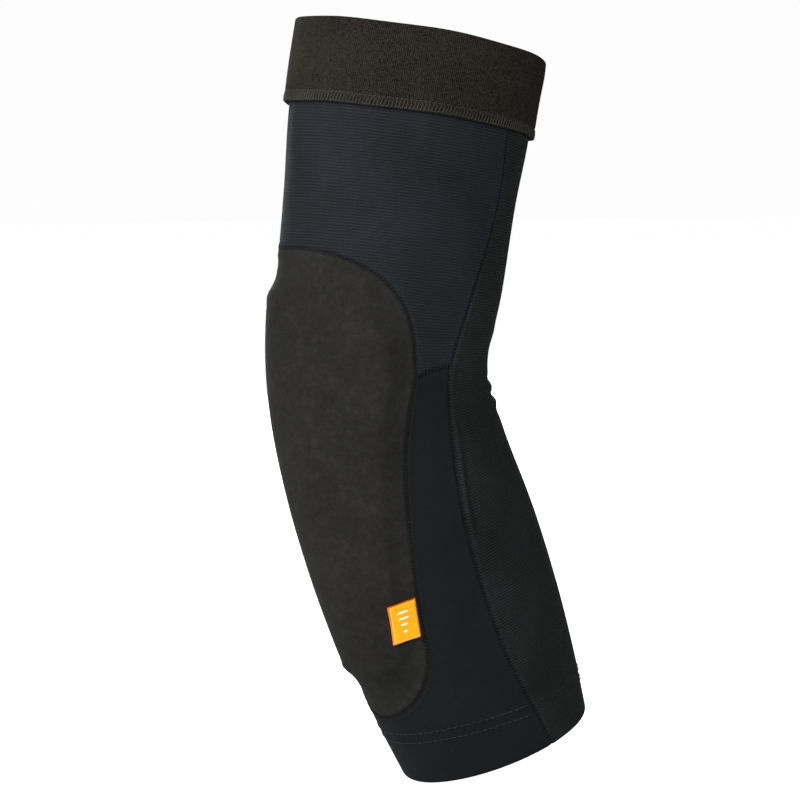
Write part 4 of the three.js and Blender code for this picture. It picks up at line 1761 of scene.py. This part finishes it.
@dataclass
class PadPocket:
    """The foam insert with the cover over it and the lining behind it."""

    form: SleeveForm
    pattern: Pattern
    relief: Relief
    fitter: Fitter
    cover_thickness: float = 1.3
    lining_thickness: float = 0.9
    pad_thickness: float = 6.6
    pad_edge: float = 4.5
    gap: float = 0.05
    shoulder: float = 0.55
    heel: float = 0.5
    vent_pitch: float = 20.0
    vent_radius: float = 3.0
    vent_margin: float = 9.0
    vent_sink: float = 3.0
    vent_rows: Span = (-22.0, 112.0)
    vent_columns: int = 4
    cloth_cells: Span = (3.0, 3.0)
    cover_cells: Span = (0.35, 1.8)
    pad_cells: Span = (0.5, 3.2)
    lining_cells: Span = (0.6, 2.4)
    block_slope: Span = (-1.0, 4.0)
    block_folds: float = 0.6
    held_slope: Span = (1.0, 5.0)
    held_most: float = 0.8
    seam_fade: Span = (0.5, 4.0)
    cover_clearance: float = 0.7
    edge_round: float = 0.42
    lining_rim: float = -2.1
    lining_clearance: float = 0.5
    lining_slope: Span = (-4.0, 3.5)
    fill: float = 0.9
    press: ClothPress = ClothPress()
    surface: tuple[Cut, Array] | None = None

    def shares(self, cells: Span) -> tuple[Array, Array]:
        """Shares of the columns and rows of a grid over the cover, by its cells in mm."""
        p = self.pattern
        length = p.cover_rise + p.taper_end + p.end_length
        return graded(2 * p.cover_half, *cells), graded(length, *cells)

    def cut(self, cells: Span, inset: Sequence[float] | None = None) -> Cut:
        """Grid over the whole cover shape.

        Args:
            cells: its finest and its coarsest cell, mm.
            inset: distance drawn in at side, top and end, mm; a seam's gap by default.

        Returns:
            The cut.
        """
        p = self.pattern
        wider, taller, longer = (-d for d in inset or (self.gap,) * 3)
        u, v = self.shares(cells)
        head = p.arch(lerp(-self.shoulder, self.shoulder, u), wider, taller)
        foot = p.tip(lerp(-self.heel, self.heel, u), wider, longer)
        line = p.side(wider, taller, longer)
        run = run_length(line)
        start = run[np.argmin(np.linalg.norm(line - head[-1], axis=1))]
        end = run[np.argmin(np.linalg.norm(line - foot[-1], axis=1))]
        right = walk(line, lerp(start, end, v) / run[-1])
        right[0], right[-1] = head[-1], foot[-1]
        left = right * (-1, 1)
        return Cut(*coons(head, foot, left, right, u, v))

    def finish(
        self, piece: Piece, finish: str, slot: str, stem: str, cut: Cut | None = None,
    ) -> None:
        """Fits one layer, which stands for the two halves of a CAD piece.

        Args:
            piece: the layer.
            finish: the finish's field name.
            slot: the record's material slot.
            stem: what the names of the two CAD nodes start with.
            cut: its cut, if it is cloth.
        """
        nodes = (f"{stem}_upper", f"{stem}_lower")
        self.fitter.fit(piece, finish, slot, Body.ACROSS_ELBOW, nodes)
        if cut:
            self.fitter.declare(piece, cut.size, cut.area)

    def cover(self) -> None:
        """The cover fabric, lifted by the insert and settled over it."""
        cut = self.cut(self.cover_cells)
        outer = self.relief.cover(cut.across, cut.along)
        outer = outer + self.settled(self.shares(self.cover_cells))
        piece = slab("pad_cover_fabric", self.form, cut, outer, outer - self.cover_thickness)
        self.finish(piece, "cover", "cover_fabric", "pad_cover", cut)
        self.surface = (cut, outer)

    def height(self, across: Array, along: Array, reach: int = 9) -> Array:
        """Height of the finished cover, mm, averaged over a few of its nearest points.

        Args:
            across: places round the sleeve, mm.
            along: places down it, mm.
            reach: how many points count.

        Returns:
            The height at each place.
        """
        cut, outer = self.surface
        tree = KDTree(outer.size)
        for i, place in enumerate(zip(cut.across.ravel(), cut.along.ravel())):
            tree.insert((*place, 0.0), i)
        tree.balance()
        heights = outer.ravel()
        found = [
            np.mean([heights[i] for _, i, _ in tree.find_n((x, y, 0.0), reach)])
            for x, y in zip(across.ravel(), along.ravel())
        ]
        return np.array(found).reshape(across.shape)

    def settled(self, shares: tuple[Array, Array]) -> Array:
        """How a cloth simulation of the cover over the insert differs from its drawn shape.

        Args:
            shares: shares of the columns and rows at which it is wanted.

        Returns:
            Height to add at each row and column, mm.
        """
        even = self.cut(self.cloth_cells)
        inside = self.relief.inside_insert(even.across, even.along)
        drawn = self.relief.bulge(inside)
        folds = sum(c.lift(even.across, even.along) for c in self.relief.cover_folds)
        block = self.relief.pad_rise * smoothstep(inside, *self.block_slope)
        held = self.held_most * smoothstep(inside, *self.held_slope)
        height = self.press.press(self.form, even, block + self.block_folds * folds, held)
        distance, _ = self.relief.seams.near(even.across, even.along)
        fade = smoothstep(distance, *self.seam_fade)
        change = (height - drawn) * fade
        LOG.info("cover settled by %.2f to %.2f mm", change.min(), change.max())
        return regrid(change, self.shares(self.cloth_cells), shares)

    def crown(self) -> float:
        """Height of the insert's top face, mm."""
        return self.relief.pad_rise - self.cover_thickness - self.cover_clearance

    def pad(self) -> None:
        """The foam insert: rounded edges and round vents."""
        r = self.relief
        cut = self.cut(self.pad_cells, (r.insert_side, r.insert_top, r.insert_end))
        inside = np.maximum(r.inside_insert(cut.across, cut.along), 0)
        inside[0] = inside[-1] = 0
        inside[:, 0] = inside[:, -1] = 0
        near = np.clip(1 - inside / self.pad_edge, 0, 1)
        drop = self.pad_thickness * self.edge_round * (1 - np.sqrt(1 - near**2))
        top = self.crown() - drop
        under = self.crown() - self.pad_thickness + drop
        foam = slab("foam_blank", self.form, cut, top, under)
        vents = path_object(
            "vent_places", self.form, self.vent_places(), self.crown() - self.vent_sink,
            edges=False,
        )
        piece = VentTree().grow(
            vents, "impact_foam", Radius=self.vent_radius * MM, Foam=foam,
            Finish=self.fitter.finishes.get("foam"),
        )
        bpy.data.objects.remove(foam)
        self.finish(piece, "foam", "impact_foam", "impact_pad")

    def vent_places(self) -> Array:
        """Staggered places of the vents, well inside the insert's edge.

        Returns:
            Places (across, along), mm.
        """
        pitch, reach = self.vent_pitch, self.vent_columns
        rows = np.arange(*self.vent_rows, pitch * math.sqrt(3) / 2)
        line = np.array([
            (column * pitch + (i % 2) * pitch / 2, along)
            for i, along in enumerate(rows) for column in range(-reach, reach + 1)
        ])
        return line[self.relief.inside_insert(*line.T) > self.vent_margin]

    def lining(self) -> None:
        """The net that keeps the insert off the arm."""
        cut = self.cut(self.lining_cells)
        inside = self.relief.inside_insert(cut.across, cut.along)
        deep = self.crown() - self.pad_thickness - self.lining_clearance
        outer = lerp(self.lining_rim, deep, smoothstep(inside, *self.lining_slope))
        piece = slab("pocket_lining_net", self.form, cut, outer, outer - self.lining_thickness)
        self.finish(piece, "lining", "lining_mesh", "pocket_lining", cut)

    def build(self) -> None:
        """Makes cover, insert and lining."""
        self.cover()
        self.pad()
        self.lining()


# ---------------------------------------------------------------- seams


@dataclass
class Seams:
    """Rows of stitches along every seam."""

    form: SleeveForm
    pattern: Pattern
    fitter: Fitter
    tree: StitchTree
    depth: float = -0.2
    pitch: float = 1.6
    stitch: float = 1.35
    thread: float = 0.2
    slant: float = 64.0
    core: float = 0.3
    top: float = -104.6
    hem_clearance: float = 1.2
    cross_reach: Span = (-0.05, 0.97)
    cover_points: int = 700
    long_points: int = 420
    cross_points: int = 42

    def row(
        self, name: str, line: Array, finish: str, slot: str, body: Body,
        nodes: Sequence[str] = (), depth: Any = None, closed: bool = False, **sizes: Any,
    ) -> None:
        """One row of stitches along a line of the pattern.

        Args:
            name: the piece's name.
            line: places (across, along), mm.
            finish: the thread's finish.
            slot: the record's material slot.
            body: what the row moves with.
            nodes: the CAD nodes that it replaces.
            depth: its height above the sleeve, mm, in all or at each place.
            closed: whether the row joins up with its start.
            **sizes: inputs of the stitch tree that differ from a seam's.
        """
        values = {
            "Pitch": self.pitch * MM, "Stitch": self.stitch * MM, "Thread": self.thread * MM,
            "Turn": math.radians(self.slant), "Core": self.core * MM, **sizes,
        }
        high = self.depth if depth is None else depth
        path = path_object(name + "_path", self.form, line, high, closed)
        made = self.tree.grow(path, name, Finish=self.fitter.finishes.get(finish), **values)
        self.fitter.fit(made, finish, slot, body, nodes)

    def build(self) -> None:
        """Makes the cover seam, the long seams and the cross seams."""
        p = self.pattern
        thread = ("thread", "seam_thread", Body.ACROSS_ELBOW)
        self.row(
            "cover_seam_stitches", walk(p.outline(), np.linspace(0, 1, self.cover_points))[:-1],
            *thread, ("cover_seam_thread_upper", "cover_seam_thread_lower"), closed=True,
        )
        end = self.form.lower_length - self.hem_clearance
        along = np.linspace(self.top, end, self.long_points)
        for sign, side in ((1, "outer"), (-1, "inner")):
            nodes = (f"long_seam_thread_{side}_upper", f"long_seam_thread_{side}_lower")
            self.row(f"long_seam_stitches_{side}", p.long(along, sign), *thread, nodes)
            cross = p.cross(np.linspace(*self.cross_reach, self.cross_points), sign)
            nodes = (f"cross_seam_thread_{side}",)
            self.row(f"cross_seam_stitches_{side}", cross, *thread, nodes)


# ---------------------------------------------------------------- cuff


@dataclass
class Cuff:
    """The elastic cuff: a soft band, its overlocked lower edge and silicone grips inside."""

    form: SleeveForm
    fitter: Fitter
    seams: Seams
    height: float = 34.0
    under: float = 0.4
    thickness: float = 2.1
    binding: float = 4.0
    strip_width: float = 3.6
    strip_thickness: float = 0.6
    strip_pitch: float = 7.0
    strip_inset: float = 3.0
    strips: int = 3
    segments: int = 300
    section_cell: float = 0.8
    dent: float = 0.32
    dent_width: float = 0.7
    wave_fade: float = 8.0

    @property
    def top(self) -> float:
        """Along, the cuff's upper edge."""
        return -self.form.upper_length

    @property
    def bottom(self) -> float:
        """Along, the cuff's lower edge."""
        return self.top + self.height

    def around(self, along: float, count: int = 600) -> Array:
        """A closed line right round the sleeve."""
        across = np.linspace(0, 2 * self.form.half_girth, count, endpoint=False)
        return pair(across, self.slack(across) + along)

    def slack(self, across: Array) -> Array:
        """How the soft edge wanders up and down, mm."""
        angle = across / self.form.pattern_radius
        return 0.3 * np.sin(3 * angle + 0.4) + 0.18 * np.sin(7 * angle + 1.9)

    def relief(self, across: Array, along: Array) -> Array:
        """Soft waves of the band and the dent above its bound lower edge.

        Args:
            across: places round the sleeve, mm.
            along: places down it, mm.

        Returns:
            Heights, mm.
        """
        angle = across / self.form.pattern_radius
        line = self.bottom - self.binding
        wave = 0.22 * np.sin(4 * angle + along / 9) + 0.12 * np.sin(11 * angle - along / 6)
        dent = self.dent * bell(along, line, self.dent_width)
        return wave * smoothstep(along, self.top, self.top + self.wave_fade) - dent

    def band(self) -> None:
        """The knitted band itself."""
        face, middle = self.under + self.thickness, self.under + self.thickness / 2
        section = rounded_section(self.top, self.bottom, self.under, face, self.section_cell)
        share = smoothstep(section[:, 1], middle, face)

        def lift(across: Array, along: Array) -> Array:
            """Relief on the outer face only."""
            return self.relief(across, along) * share

        piece = band("cuff_elastic_band", self.form, section, self.segments, lift, self.slack)
        self.fitter.fit(piece, "cuff", "cuff_elastic", Body.UPPER, ("cuff_band",))
        self.fitter.declare(piece, (2 * self.form.half_girth * MM, self.height * MM))

    def edge(self) -> None:
        """Overlock loops over the lower edge, between two rows of stitches."""
        face = self.under + self.thickness
        loops = {"Pitch": 1.5 * MM, "Stitch": 3.3 * MM, "Thread": 0.22 * MM, "Rise": 0.3 * MM,
                 "Turn": math.radians(76), "Jitter": 0.09, "Core": 0.0}
        cover = {"Pitch": 1.9 * MM, "Stitch": 1.35 * MM, "Thread": 0.26 * MM, "Rise": 0.2 * MM,
                 "Turn": math.radians(14), "Jitter": 0.1, "Core": 0.0}
        rows = (
            ("cuff_overlock_loops", self.binding / 2, -0.02, loops, ("cuff_binding_thread",)),
            ("cuff_cover_stitches_upper", self.binding + 0.1, -0.08, cover, ()),
            ("cuff_cover_stitches_lower", 0.75, -0.22, cover, ()),
        )
        for name, up, lift, sizes, nodes in rows:
            line = self.around(self.bottom - up)
            depth = face + lift + self.relief(*line.T)
            self.seams.row(name, line, "binding_thread", "seam_thread", Body.UPPER, nodes, depth,
                           True, **sizes)

    def grips(self) -> None:
        """Wavy silicone strips inside the band."""
        nodes = [f"cuff_gripper_strip_{i + 1}" for i in range(self.strips)]
        for i, node in enumerate(nodes):
            top = self.top + self.strip_inset + i * self.strip_pitch
            piece = grip_strip(
                f"cuff_grip_{i + 1}", self.form, top, self.strip_width, self.under - 0.4,
                self.strip_thickness, i,
            )
            self.fitter.fit(piece, "silicone", "silicone", Body.UPPER, (node,))

    def build(self) -> None:
        """Makes the cuff."""
        self.band()
        self.edge()
        self.grips()


def grip_strip(
    name: str, form: SleeveForm, top: float, width: float, face: float, thickness: float,
    phase: int, segments: int = 288, waves: int = 24, sway: float = 0.45,
) -> Piece:
    """A printed silicone strip with a rounded face and a wavy course, inside the sleeve.

    Args:
        name: the object's name.
        form: the sleeve.
        top: along, its upper edge, mm.
        width: its width, mm.
        face: height of the face that is stuck on, mm.
        thickness: its thickness, mm.
        phase: shifts the wave from strip to strip.
        segments: number of steps round the sleeve.
        waves: number of waves round the sleeve.
        sway: how far the strip sways up and down, mm.

    Returns:
        The new object.
    """
    turn = np.linspace(0, math.pi, ARC_POINTS)
    crest = pair(top + width / 2 * (1 - np.cos(turn)), face - thickness * np.sin(turn) ** 0.7)
    section = np.concatenate([crest, [[top + width / 2, face]]])

    def wave(across: Array) -> Array:
        """The strip's wave up and down, mm."""
        return sway * np.sin(waves * across / form.pattern_radius + phase * math.pi)

    return band(name, form, section, segments, None, wave)


# ---------------------------------------------------------------- hem


@dataclass
class Hem:
    """The turned-up hem: its facing, twin-needle stitching and silicone grips inside."""

    form: SleeveForm
    fitter: Fitter
    seams: Seams
    height: float = 24.0
    face: float = -1.75
    thickness: float = 1.05
    row_spacing: float = 4.4
    stitch_up: float = 1.0
    slant: float = 5.0
    strips: int = 2
    strip_width: float = 3.6
    strip_thickness: float = 0.6
    strip_pitch: float = 7.0
    strip_inset: float = 3.0
    strip_gap: float = 0.1
    section_cell: float = 1.2
    segments: int = 240
    stitch_lift: float = 0.12
    path_points: int = 600
    front_slope: float = -1.4
    slope_turns: Span = (math.radians(35), math.radians(160))

    def facing(self) -> None:
        """The turned-up inner layer."""
        bottom = self.form.lower_length
        section = rounded_section(
            bottom - self.height, bottom, self.face - self.thickness, self.face,
            self.section_cell,
        )
        piece = band("hem_facing_fabric", self.form, section, self.segments)
        self.fitter.fit(piece, "facing", "hem_tape", Body.FOREARM, ("hem_facing",))
        self.fitter.declare(piece, (2 * self.form.half_girth * MM, self.height * MM), held="folded")

    def stitching(self) -> None:
        """Two rows of twin-needle stitches, which rise and fall a little round the sleeve."""
        across = np.linspace(0, 2 * self.form.half_girth, self.path_points, endpoint=False)
        turn = np.abs((across / self.form.pattern_radius + math.pi) % (2 * math.pi) - math.pi)
        slope = lerp(self.front_slope, self.slant, smoothstep(turn, *self.slope_turns))
        for i, row in enumerate(("upper", "lower")):
            along = self.form.lower_length - self.height + self.stitch_up + i * self.row_spacing
            self.seams.row(
                f"hem_stitches_{row}", pair(across, along + slope), "hem_thread", "seam_thread",
                Body.FOREARM, (f"hem_stitch_thread_{row}",), self.stitch_lift, True,
                Pitch=2.7 * MM, Stitch=1.9 * MM, Thread=0.17 * MM, Rise=0.16 * MM, Turn=0.0,
                Jitter=0.07, Core=0.0,
            )

    def grips(self) -> None:
        """Silicone strips inside the hem."""
        for i in range(self.strips):
            low = self.form.lower_length - self.strip_inset - i * self.strip_pitch
            piece = grip_strip(
                f"hem_grip_{i + 1}", self.form, low - self.strip_width, self.strip_width,
                self.face - self.thickness - self.strip_gap, self.strip_thickness, i,
            )
            node = f"hem_gripper_strip_{i + 1}"
            self.fitter.fit(piece, "silicone", "silicone", Body.FOREARM, (node,))

    def build(self) -> None:
        """Makes the hem."""
        self.facing()
        self.stitching()
        self.grips()


# ---------------------------------------------------------------- side tag


@dataclass
class SideTag:
    """A loop of folded tape in the cover's seam, with a plain printed mark."""

    form: SleeveForm
    pattern: Pattern
    pocket: PadPocket
    fitter: Fitter
    width: float = 11.0
    height: float = 16.5
    top: float = 83.0
    tape: float = 0.45
    fold_gap: float = 0.35
    root: float = 0.9
    lift: float = 0.3
    curl: float = 0.55
    bars: tuple[tuple[float, float, float, float], ...] = (
        (5.4, 4.0, 4.2, 0.9), (5.4, 6.6, 4.2, 0.9), (5.4, 9.2, 2.5, 0.9), (5.4, 12.4, 1.3, 1.3),
    )
    cells: Span = (0.15, 0.9)
    straight_points: int = 15
    bar_points: int = 28
    bar_squareness: float = 0.55
    bar_sink: float = 0.02
    bar_rise: float = 0.07

    def place(self, inward: Array, down: Array, high: Array) -> Array:
        """Points of the tag laid over the cover.

        Args:
            inward: distance from the seam towards the middle of the cover, mm.
            down: distance below the tag's top edge, mm.
            high: height above the middle of the fold, mm.

        Returns:
            Points in metres.
        """
        along = self.top + down
        across = self.pattern.half_at(along) - self.root - inward
        base = self.pocket.height(across, along)
        free = self.curl * np.clip(inward / self.width, 0, 1) ** 2
        middle = self.lift + self.tape + self.fold_gap / 2
        return self.form.point(across, along, base + middle + free + high)

    def build(self) -> None:
        """Makes the folded tape with its mark."""
        outer, inner = self.tape + self.fold_gap / 2, self.fold_gap / 2
        centre = self.width - outer
        straight = np.linspace(0, centre, self.straight_points)
        turn = np.linspace(-math.pi / 2, math.pi / 2, ARC_POINTS)[1:-1]
        section = np.concatenate([
            pair(straight, -outer), pair(centre + outer * np.cos(turn), outer * np.sin(turn)),
            pair(straight[::-1], outer), pair(straight, inner),
            pair(centre + inner * np.cos(turn[::-1]), inner * np.sin(turn[::-1])),
            pair(straight[::-1], -inner),
        ])
        down = graded(self.height, *self.cells) * self.height
        size, rows = len(section), len(down)
        x, z = np.meshgrid(section[:, 0], down)
        y, _ = np.meshgrid(section[:, 1], down)
        points = self.place(x.ravel(), z.ravel(), y.ravel())
        index = np.arange(rows * size).reshape(rows, size)
        beside = np.roll(index, -1, axis=1)
        sides = np.stack([index[:-1], beside[:-1], beside[1:], index[1:]], -1).reshape(-1, 4)
        half = size // 2
        caps = []
        for row, flip in ((index[0], False), (index[-1], True)):
            for i in range(half - 1):
                quad = (row[i], row[i + 1], row[size - 2 - i], row[size - 1 - i])
                caps.append(quad[::-1] if flip else quad)
        flat = pair(np.tile(run_length(section), rows), z.ravel()) * MM
        faces = [tuple(int(i) for i in f) for f in sides.tolist() + caps]
        piece = make_object("tag_tape_loop", points, faces, flat)
        self.fitter.fit(piece, "tape", "tag_tape", Body.TAG, ("side_tag",))
        self.fitter.declare(piece, (2 * self.width * MM, self.height * MM), held="folded",
                            with_pieces=[self.mark(outer)])

    def mark(self, face: float) -> Piece:
        """Plain bars and a dot, printed on the tag's face.

        Args:
            face: height of the tag's face, mm.

        Returns:
            The finished piece.
        """
        places, faces = [], []
        count = self.bar_points
        angle = np.linspace(0, 2 * math.pi, count, endpoint=False)
        shape = np.stack([np.cos(angle), np.sin(angle)], -1)
        shape = np.sign(shape) * np.abs(shape) ** self.bar_squareness
        for n, (x, z, long, wide) in enumerate(self.bars):
            size = shape * (long / 2, wide / 2)
            for high in (face - self.bar_sink, face + self.bar_rise):
                places.append(
                    np.column_stack([x + size[:, 0], z + size[:, 1], np.full(count, high)])
                )
            low = np.arange(count) + 2 * count * n
            top = low + count
            faces += [tuple(low[::-1].tolist()), tuple(top.tolist())]
            sides = np.stack([low, np.roll(low, -1), np.roll(top, -1), top], -1)
            faces += [tuple(side) for side in sides.tolist()]
        points = self.place(*np.concatenate(places).T)
        piece = make_object("tag_mark", points, faces)
        return self.fitter.fit(piece, "mark", "tag_tape", Body.TAG)


# ---------------------------------------------------------------- studio


@dataclass
class Studio:
    """Camera, floor and soft lights."""

    azimuth: float = -30.0
    elevation: float = 3.5
    distance: float = 1.7
    lens: float = 183.6
    image: int = 800
    seen: Span = (387.3, 400.9)
    seen_along: float = 12.0
    sensor: float = 36.0
    clip_end: float = 30.0
    floor_drop: float = 0.0015
    floor_reach: float = 12.0
    ambient: float = 0.025
    backdrop: float = 0.98
    lamps: tuple[tuple[str, Triple, float, float], ...] = (
        ("key", (-2.0, -1.5, 1.0), 1.5, 76.0),
        ("left", (-2.3, 0.5, 0.7), 1.5, 46.0),
        ("front", (-0.5, -2.4, 0.7), 1.6, 5.0),
        ("right", (1.0, -2.3, 0.4), 1.6, 26.0),
        ("top", (0.0, 0.2, 2.3), 1.6, 2.0),
        ("rear", (0.9, 2.2, 0.9), 1.8, 70.0),
    )

    def camera(self, form: SleeveForm) -> None:
        """The camera, aimed so that the sleeve's middle stands where it should.

        Args:
            form: the sleeve.
        """
        data = bpy.data.cameras.new("camera")
        data.lens = self.lens
        data.sensor_width = self.sensor
        data.clip_end = self.clip_end
        turn, tilt = math.radians(self.azimuth), math.radians(self.elevation)
        level = math.cos(tilt)
        back = Vector((math.sin(turn) * level, -math.cos(turn) * level, math.sin(tilt)))
        right = Vector((math.cos(turn), math.sin(turn), 0.0))
        up = back.cross(right)
        x, z = form.centre(np.array(self.seen_along))
        middle = Vector((float(x), 0.0, float(z))) * MM + Vector(form.anchor)
        scale = self.distance * data.sensor_width / self.lens / self.image
        across = (self.image / 2 - self.seen[0]) * scale
        high = (self.seen[1] - self.image / 2) * scale
        target = middle + right * across + up * high
        camera = put("camera", data)
        camera.location = target + back * self.distance
        camera.rotation_euler = back.to_track_quat("Z", "Y").to_euler()
        bpy.context.scene.camera = camera

    def lamp(self, name: str, place: Sequence[float], size: float, power: float) -> None:
        """A square soft light aimed at the guard.

        Args:
            name: its name.
            place: where it stands, metres.
            size: its width, metres.
            power: its power, watts.
        """
        data = bpy.data.lights.new(name, "AREA")
        data.shape = "SQUARE"
        data.size = size
        data.energy = power
        lamp = put(name, data)
        lamp.location = place
        lamp.rotation_euler = Vector(place).to_track_quat("Z", "Y").to_euler()

    def floor(self, height: float) -> None:
        """A wide pale floor under the guard.

        Args:
            height: its height, metres.
        """
        mesh = bpy.data.meshes.new("floor")
        reach = self.floor_reach
        signs = ((-1, -1), (1, -1), (1, 1), (-1, 1))
        mesh.from_pydata([(reach * x, reach * y, height) for x, y in signs], [], [(0, 1, 2, 3)])
        material = bpy.data.materials.new("pale_floor")
        material.use_nodes = True
        material.node_tree.nodes.clear()
        w = Wiring(material.node_tree)
        seen = w.add("ShaderNodeLightPath").outputs["Is Camera Ray"]
        glow = w.out("ShaderNodeMath", {0: seen, 1: self.backdrop}, operation="MULTIPLY")
        shader = w.add("ShaderNodeBsdfPrincipled", {
            "Base Color": (0.5, 0.5, 0.5, 1.0), "Roughness": 0.9, "Specular IOR Level": 0.05,
            "Emission Color": (1.0, 1.0, 1.0, 1.0), "Emission Strength": glow,
        })
        w.add("ShaderNodeOutputMaterial", {"Surface": shader.outputs["BSDF"]})
        mesh.materials.append(material)
        put("floor", mesh)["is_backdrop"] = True

    def sky(self) -> None:
        """A pale surround that lights the guard only a little."""
        world = bpy.data.worlds.new("surround")
        bpy.context.scene.world = world
        world.use_nodes = True
        world.node_tree.nodes.clear()
        w = Wiring(world.node_tree)
        seen = w.add("ShaderNodeLightPath").outputs["Is Camera Ray"]
        lighting = w.out("ShaderNodeBackground", {"Color": (1, 1, 1, 1), "Strength": self.ambient})
        shown = w.out("ShaderNodeBackground", {"Color": (1, 1, 1, 1), "Strength": self.backdrop})
        both = w.out("ShaderNodeMixShader", {0: seen, 1: lighting, 2: shown})
        w.add("ShaderNodeOutputWorld", {"Surface": both})

    def build(self, lowest: float) -> None:
        """Lights the scene and lays the floor.

        Args:
            lowest: height of the lowest point, metres.
        """
        self.floor(lowest - self.floor_drop)
        self.sky()
        for name, place, size, power in self.lamps:
            self.lamp(name, place, size, power)
        view = bpy.context.scene.view_settings
        view.view_transform = "Standard"
        view.look = "None"


# ---------------------------------------------------------------- assembly


def elbow_anchor() -> Triple:
    """Where the sleeve's elbow is in the row frame, from the elbow joint."""
    joint = next(j for j in frame["joints"] if j["child"] == Body.FOREARM.value)
    x, y, z = joint["pos_m"]
    return float(x), float(y), float(z)


def check_fit(form: SleeveForm) -> None:
    """Logs how far the form's ends are from the CAD's.

    Args:
        form: the sleeve.
    """
    places = (
        ("hem's height", 2, "crook_panel_lower", np.linspace(70, 225, 200), form.lower_length),
        ("upper panel's width", 1, "upper_arm_panel", 70.0, np.linspace(-110, -6, 9)),
    )
    for what, axis, node, across, along in places:
        low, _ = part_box(node)
        least = form.point(across, along)[:, axis].min()
        LOG.info("%s is %.2f mm from the CAD's", what, abs(least - low[axis]) / MM)


def main() -> None:
    """Builds the guard and its studio."""
    logging.basicConfig(level=logging.INFO, format="%(name)s: %(message)s")
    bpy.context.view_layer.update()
    anchor = elbow_anchor()
    form = SleeveForm(anchor)
    check_fit(form)
    studio = Studio()
    studio.camera(form)
    pattern = Pattern(form)
    girth = 2 * form.half_girth
    along = np.linspace(-form.upper_length, form.lower_length, LONG_SAMPLES)
    share = np.linspace(0, 1, CROSS_SAMPLES)
    lines = [pattern.outline(), *(pattern.long(along, sign) for sign in (-1, 1)),
             *(pattern.cross(share, sign) for sign in (-1, 1))]
    inset = (-Relief.insert_side, -Relief.insert_top, -Relief.insert_end)
    relief = Relief(pattern, LineMap(lines, girth), LineMap([pattern.outline(*inset)], girth))
    fitter = Fitter(Finishes(), ElbowBend(anchor))
    seams = Seams(form, pattern, fitter, StitchTree())
    Panels(form, pattern, relief, fitter).build()
    pocket = PadPocket(form, pattern, relief, fitter)
    pocket.build()
    seams.build()
    Cuff(form, fitter, seams).build()
    Hem(form, fitter, seams).build()
    SideTag(form, pattern, pocket, fitter).build()
    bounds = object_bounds()
    studio.build(bounds[0][2])


if __name__ == "__main__":
    main()
